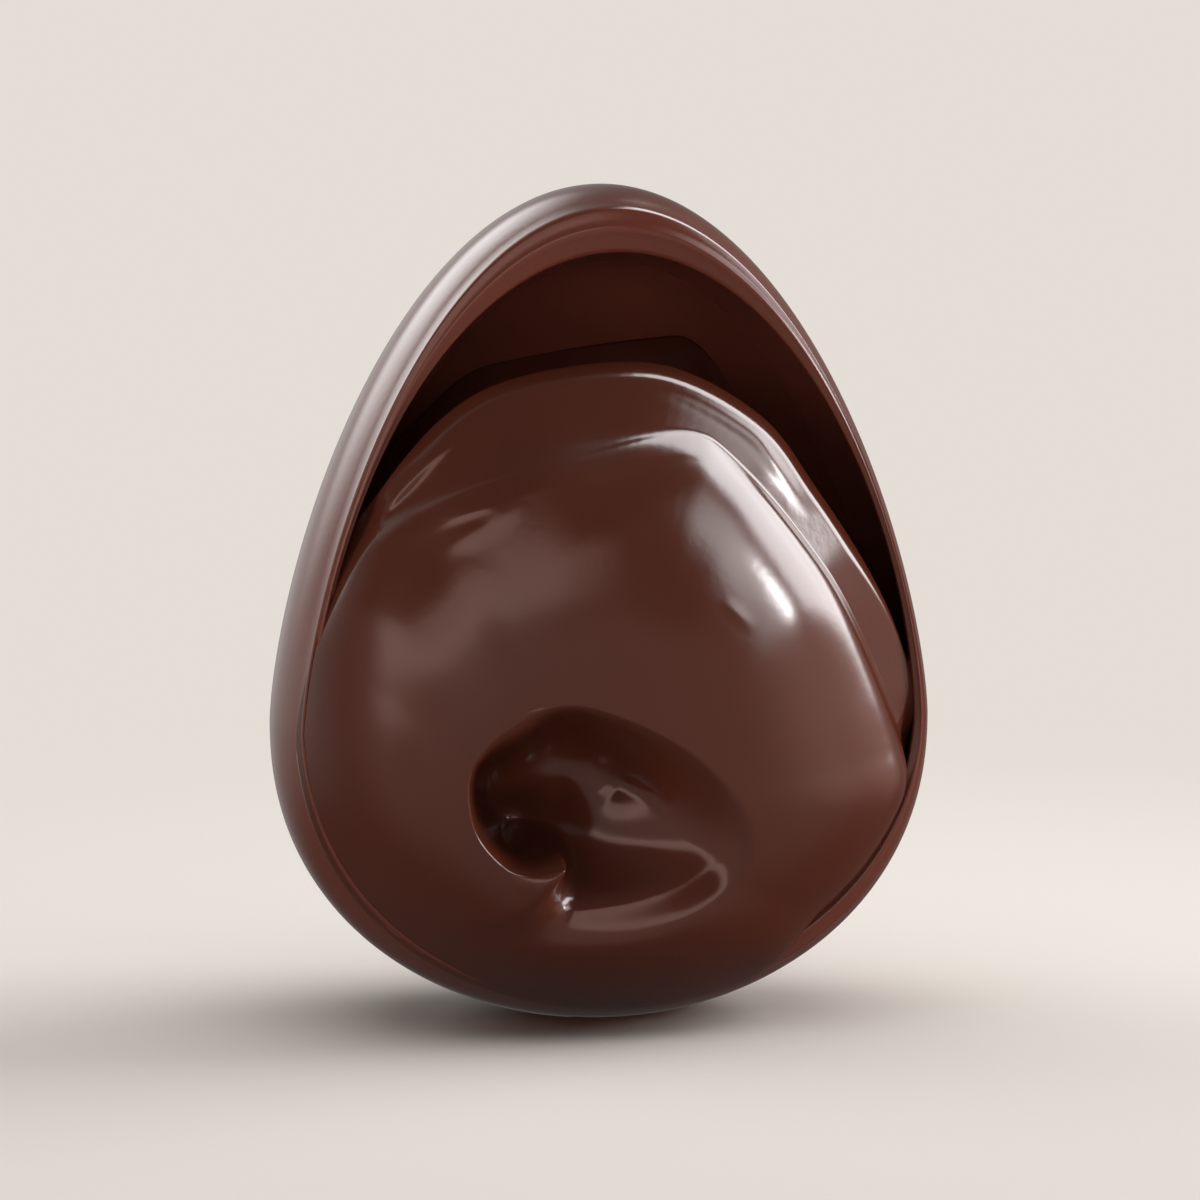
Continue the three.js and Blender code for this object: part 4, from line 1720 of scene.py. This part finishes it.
@dataclass(frozen=True)
class Surroundings:
    """The plain backdrop, and what the gloss mirrors all round the praline.

    The gloss mirrors a pale wall behind the praline, a warm table before it, a band of light
    across its front and a glow at its right. Every span says where a smooth step starts and
    ends, in parts of a direction of length 1: upwards, to the right or towards the camera.
    """

    pale: Colour = (0.776, 0.723, 0.665)
    room_colour: Colour = (1.0, 0.97, 0.95)
    table_colour: Colour = (1.0, 0.68, 0.6)
    room_glow: float = 0.06
    fill_glow: float = 0.01
    wall_glow: float = 1.0
    wall_ahead: Span = (0.25, -0.5)
    wall_low: Span = (-0.5, 0.1)
    wall_high: Span = (0.3, 0.7)
    wall_low_share: float = 0.8
    wall_left: Span = (0.2, -0.4)
    wall_left_share: float = 0.85
    table_glow: float = 0.4
    table_ahead: Span = (-0.1, 0.5)
    table_foot: Span = (-0.9, -0.2)
    table_top: Span = (0.33, 0.27)
    table_tilt: float = 0.3
    table_tilt_end: float = 0.6
    band_glow: float = 1.8
    band_ahead: Span = (0.3, 0.6)
    band_foot: Span = (0.21, 0.27)
    band_top: Span = (0.5, 0.42)
    band_right: Span = (0.42, 0.32)
    band_tilt: float = 0.2
    band_tilt_start: float = 0.2
    side_glow: float = 1.05
    side_right: Span = (0.7, 0.98)
    side_foot: Span = (-0.6, 0.1)
    side_top: Span = (0.6, 0.2)

    @staticmethod
    def _along(tree: bpy.types.NodeTree, way: bpy.types.NodeSocket, axis: Vector) -> Field:
        """How far a direction points along an axis.

        Args:
            tree: The world's tree.
            way: The direction.
            axis: The axis.

        Returns:
            A value from -1 to 1.
        """
        product = tree.nodes.new("ShaderNodeVectorMath")
        product.operation = "DOT_PRODUCT"
        product.inputs[1].default_value = axis
        tree.links.new(way, product.inputs[0])
        return Field(tree, product.outputs["Value"])

    def _wall(self, up: Field, right: Field, ahead: Field) -> Field:
        """The pale wall behind the praline, brighter high up and to the left.

        Args:
            up: How far the direction points upwards.
            right: How far it points to the right.
            ahead: How far it points towards the camera.

        Returns:
            The wall's strength.
        """
        low = up.eased(*self.wall_low) * self.wall_low_share
        above = low + up.eased(*self.wall_high) * (1 - self.wall_low_share)
        leftward = right.eased(*self.wall_left) * self.wall_left_share + (1 - self.wall_left_share)
        return ahead.eased(*self.wall_ahead) * above * leftward * self.wall_glow

    def _warm(self, up: Field, right: Field, ahead: Field) -> Field:
        """The warm things before the praline: the table, the band and the glow at the right.

        Args:
            up: How far the direction points upwards.
            right: How far it points to the right.
            ahead: How far it points towards the camera.

        Returns:
            Their strength.
        """
        lowered = up + right.at_least(0.0).at_most(self.table_tilt_end) * self.table_tilt
        level = up.eased(*self.table_foot) * lowered.eased(*self.table_top)
        table = ahead.eased(*self.table_ahead) * level * self.table_glow
        turned = up + (-right - self.band_tilt_start).at_least(0.0) * self.band_tilt
        band = turned.eased(*self.band_foot) * turned.eased(*self.band_top)
        band = band * right.eased(*self.band_right) * ahead.eased(*self.band_ahead)
        side = right.eased(*self.side_right) * up.eased(*self.side_foot) * up.eased(*self.side_top)
        return table + band * self.band_glow + side * self.side_glow

    @staticmethod
    def _glow(tree: bpy.types.NodeTree, colour: Colour, strength: Field) -> bpy.types.NodeSocket:
        """A background of one colour.

        Args:
            tree: The world's tree.
            colour: The colour.
            strength: How strongly it glows.

        Returns:
            The background's shader.
        """
        glow = tree.nodes.new("ShaderNodeBackground")
        glow.inputs["Color"].default_value = (*colour, 1)
        tree.links.new(strength.socket, glow.inputs["Strength"])
        return glow.outputs[0]

    def build(self, axes: Axes) -> None:
        """Sets the world: the backdrop for the camera, and the rest for everything else.

        Args:
            axes: The directions towards the camera, to its right and up.
        """
        world = bpy.data.worlds.new("studio")
        world.use_nodes = True
        tree = world.node_tree
        tree.nodes.clear()
        way = tree.nodes.new("ShaderNodeTexCoord").outputs["Generated"]
        ahead = self._along(tree, way, axes[0])
        right = self._along(tree, way, axes[1])
        up = self._along(tree, way, Vector((0, 0, 1)))
        path = tree.nodes.new("ShaderNodeLightPath")
        mirrored = Field(tree, path.outputs["Is Glossy Ray"])
        room = (self._wall(up, right, ahead) + self.room_glow) * mirrored + self.fill_glow
        warm = self._warm(up, right, ahead) * mirrored
        together = tree.nodes.new("ShaderNodeAddShader")
        tree.links.new(self._glow(tree, self.room_colour, room), together.inputs[0])
        tree.links.new(self._glow(tree, self.table_colour, warm), together.inputs[1])
        plain = tree.nodes.new("ShaderNodeBackground")
        plain.inputs["Color"].default_value = (*self.pale, 1)
        blend = tree.nodes.new("ShaderNodeMixShader")
        tree.links.new(path.outputs["Is Camera Ray"], blend.inputs[0])
        tree.links.new(together.outputs[0], blend.inputs[1])
        tree.links.new(plain.outputs[0], blend.inputs[2])
        out = tree.nodes.new("ShaderNodeOutputWorld")
        tree.links.new(blend.outputs[0], out.inputs[0])
        bpy.context.scene.world = world


@dataclass(frozen=True)
class Floor:
    """The floor: lit near the praline, and even with the backdrop further out, in metres."""

    half: float = 3.0
    colour: Colour = (0.9, 0.845, 0.78)
    roughness: float = 0.9
    lit_within: Span = (0.03, 0.09)

    def _material(self, pale: Colour) -> bpy.types.Material:
        """The floor's material.

        Args:
            pale: The backdrop's colour.

        Returns:
            A lit surface that turns into the plain backdrop away from the praline.
        """
        material = bpy.data.materials.new("floor")
        material.use_nodes = True
        tree = material.node_tree
        shader = tree.nodes["Principled BSDF"]
        shader.inputs["Base Color"].default_value = (*self.colour, 1)
        shader.inputs["Roughness"].default_value = self.roughness
        shader.inputs["Specular IOR Level"].default_value = 0.0
        glow = tree.nodes.new("ShaderNodeEmission")
        glow.inputs["Color"].default_value = (*pale, 1)
        place = tree.nodes.new("ShaderNodeTexCoord").outputs["Object"]
        length = tree.nodes.new("ShaderNodeVectorMath")
        length.operation = "LENGTH"
        tree.links.new(place, length.inputs[0])
        away = Field(tree, length.outputs["Value"]).eased(*self.lit_within)
        blend = tree.nodes.new("ShaderNodeMixShader")
        tree.links.new(away.socket, blend.inputs[0])
        tree.links.new(shader.outputs[0], blend.inputs[1])
        tree.links.new(glow.outputs[0], blend.inputs[2])
        tree.links.new(blend.outputs[0], tree.nodes["Material Output"].inputs["Surface"])
        return material

    def build(self, pale: Colour) -> None:
        """Adds the floor.

        Args:
            pale: The backdrop's colour.
        """
        corners = [(-1, -1), (1, -1), (1, 1), (-1, 1)]
        points = [(x * self.half, y * self.half, 0) for x, y in corners]
        mesh = bpy.data.meshes.new("floor")
        mesh.from_pydata(points, [], [range(len(points))])
        mesh.materials.append(self._material(pale))
        floor = bpy.data.objects.new("floor", mesh)
        bpy.context.scene.collection.objects.link(floor)
        floor.visible_glossy = False
        floor.visible_shadow = False


@dataclass(frozen=True)
class Studio:
    """A plain pale floor, soft lights and the camera."""

    azimuth: float = -12.0
    elevation: float = 8.0
    lens: float = 250.0
    field: float = 58.1
    aim_up: float = 19.75
    clip: float = 50.0
    surroundings: Surroundings = Surroundings()
    floor: Floor = Floor()
    softboxes: tuple[Softbox, ...] = SOFTBOXES

    def axes(self) -> Axes:
        """The directions towards the camera, to its right and up.

        Returns:
            Three directions of length 1.
        """
        a, e = math.radians(self.azimuth), math.radians(self.elevation)
        back = Vector((math.sin(a) * math.cos(e), -math.cos(a) * math.cos(e), math.sin(e)))
        right = Vector((math.cos(a), math.sin(a), 0))
        return back, right, back.cross(right)

    def _camera(self) -> None:
        """Adds the camera and makes it the scene's."""
        back, _, up = self.axes()
        data = bpy.data.cameras.new("camera")
        data.lens = self.lens
        distance = self.field * MM * self.lens / data.sensor_width
        data.clip_start, data.clip_end = distance / self.clip, distance * self.clip
        camera = bpy.data.objects.new("camera", data)
        camera.location = up * (self.aim_up * MM) + back * distance
        camera.rotation_euler = (-back).to_track_quat("-Z", "Y").to_euler()
        bpy.context.scene.collection.objects.link(camera)
        bpy.context.scene.camera = camera

    def build(self) -> None:
        """Adds the camera, the surroundings, the floor and the lights."""
        self._camera()
        self.surroundings.build(self.axes())
        self.floor.build(self.surroundings.pale)
        for box in self.softboxes:
            box.build(self.axes())
        bpy.context.scene.view_settings.view_transform = "Standard"


# ---- The praline ----


def finish_piece(piece: bpy.types.Object, node: str) -> None:
    """Puts a finished piece on the praline's body in place of its construction solid.

    Args:
        piece: The piece.
        node: The name of the solid.
    """
    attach(piece, BODY)
    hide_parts(node)
    triangles = sum(len(face.vertices) - 2 for face in piece.data.polygons)
    LOG.info("%s: %d triangles", piece.name, triangles)


def main() -> None:
    """Builds the praline and its studio."""
    logging.basicConfig(level=logging.INFO, format="%(name)s: %(message)s")
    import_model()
    Studio().build()
    finish_piece(Shell().build(), "shell")
    finish_piece(Swirl().build(), "swirl")


if __name__ == "__main__":
    main()
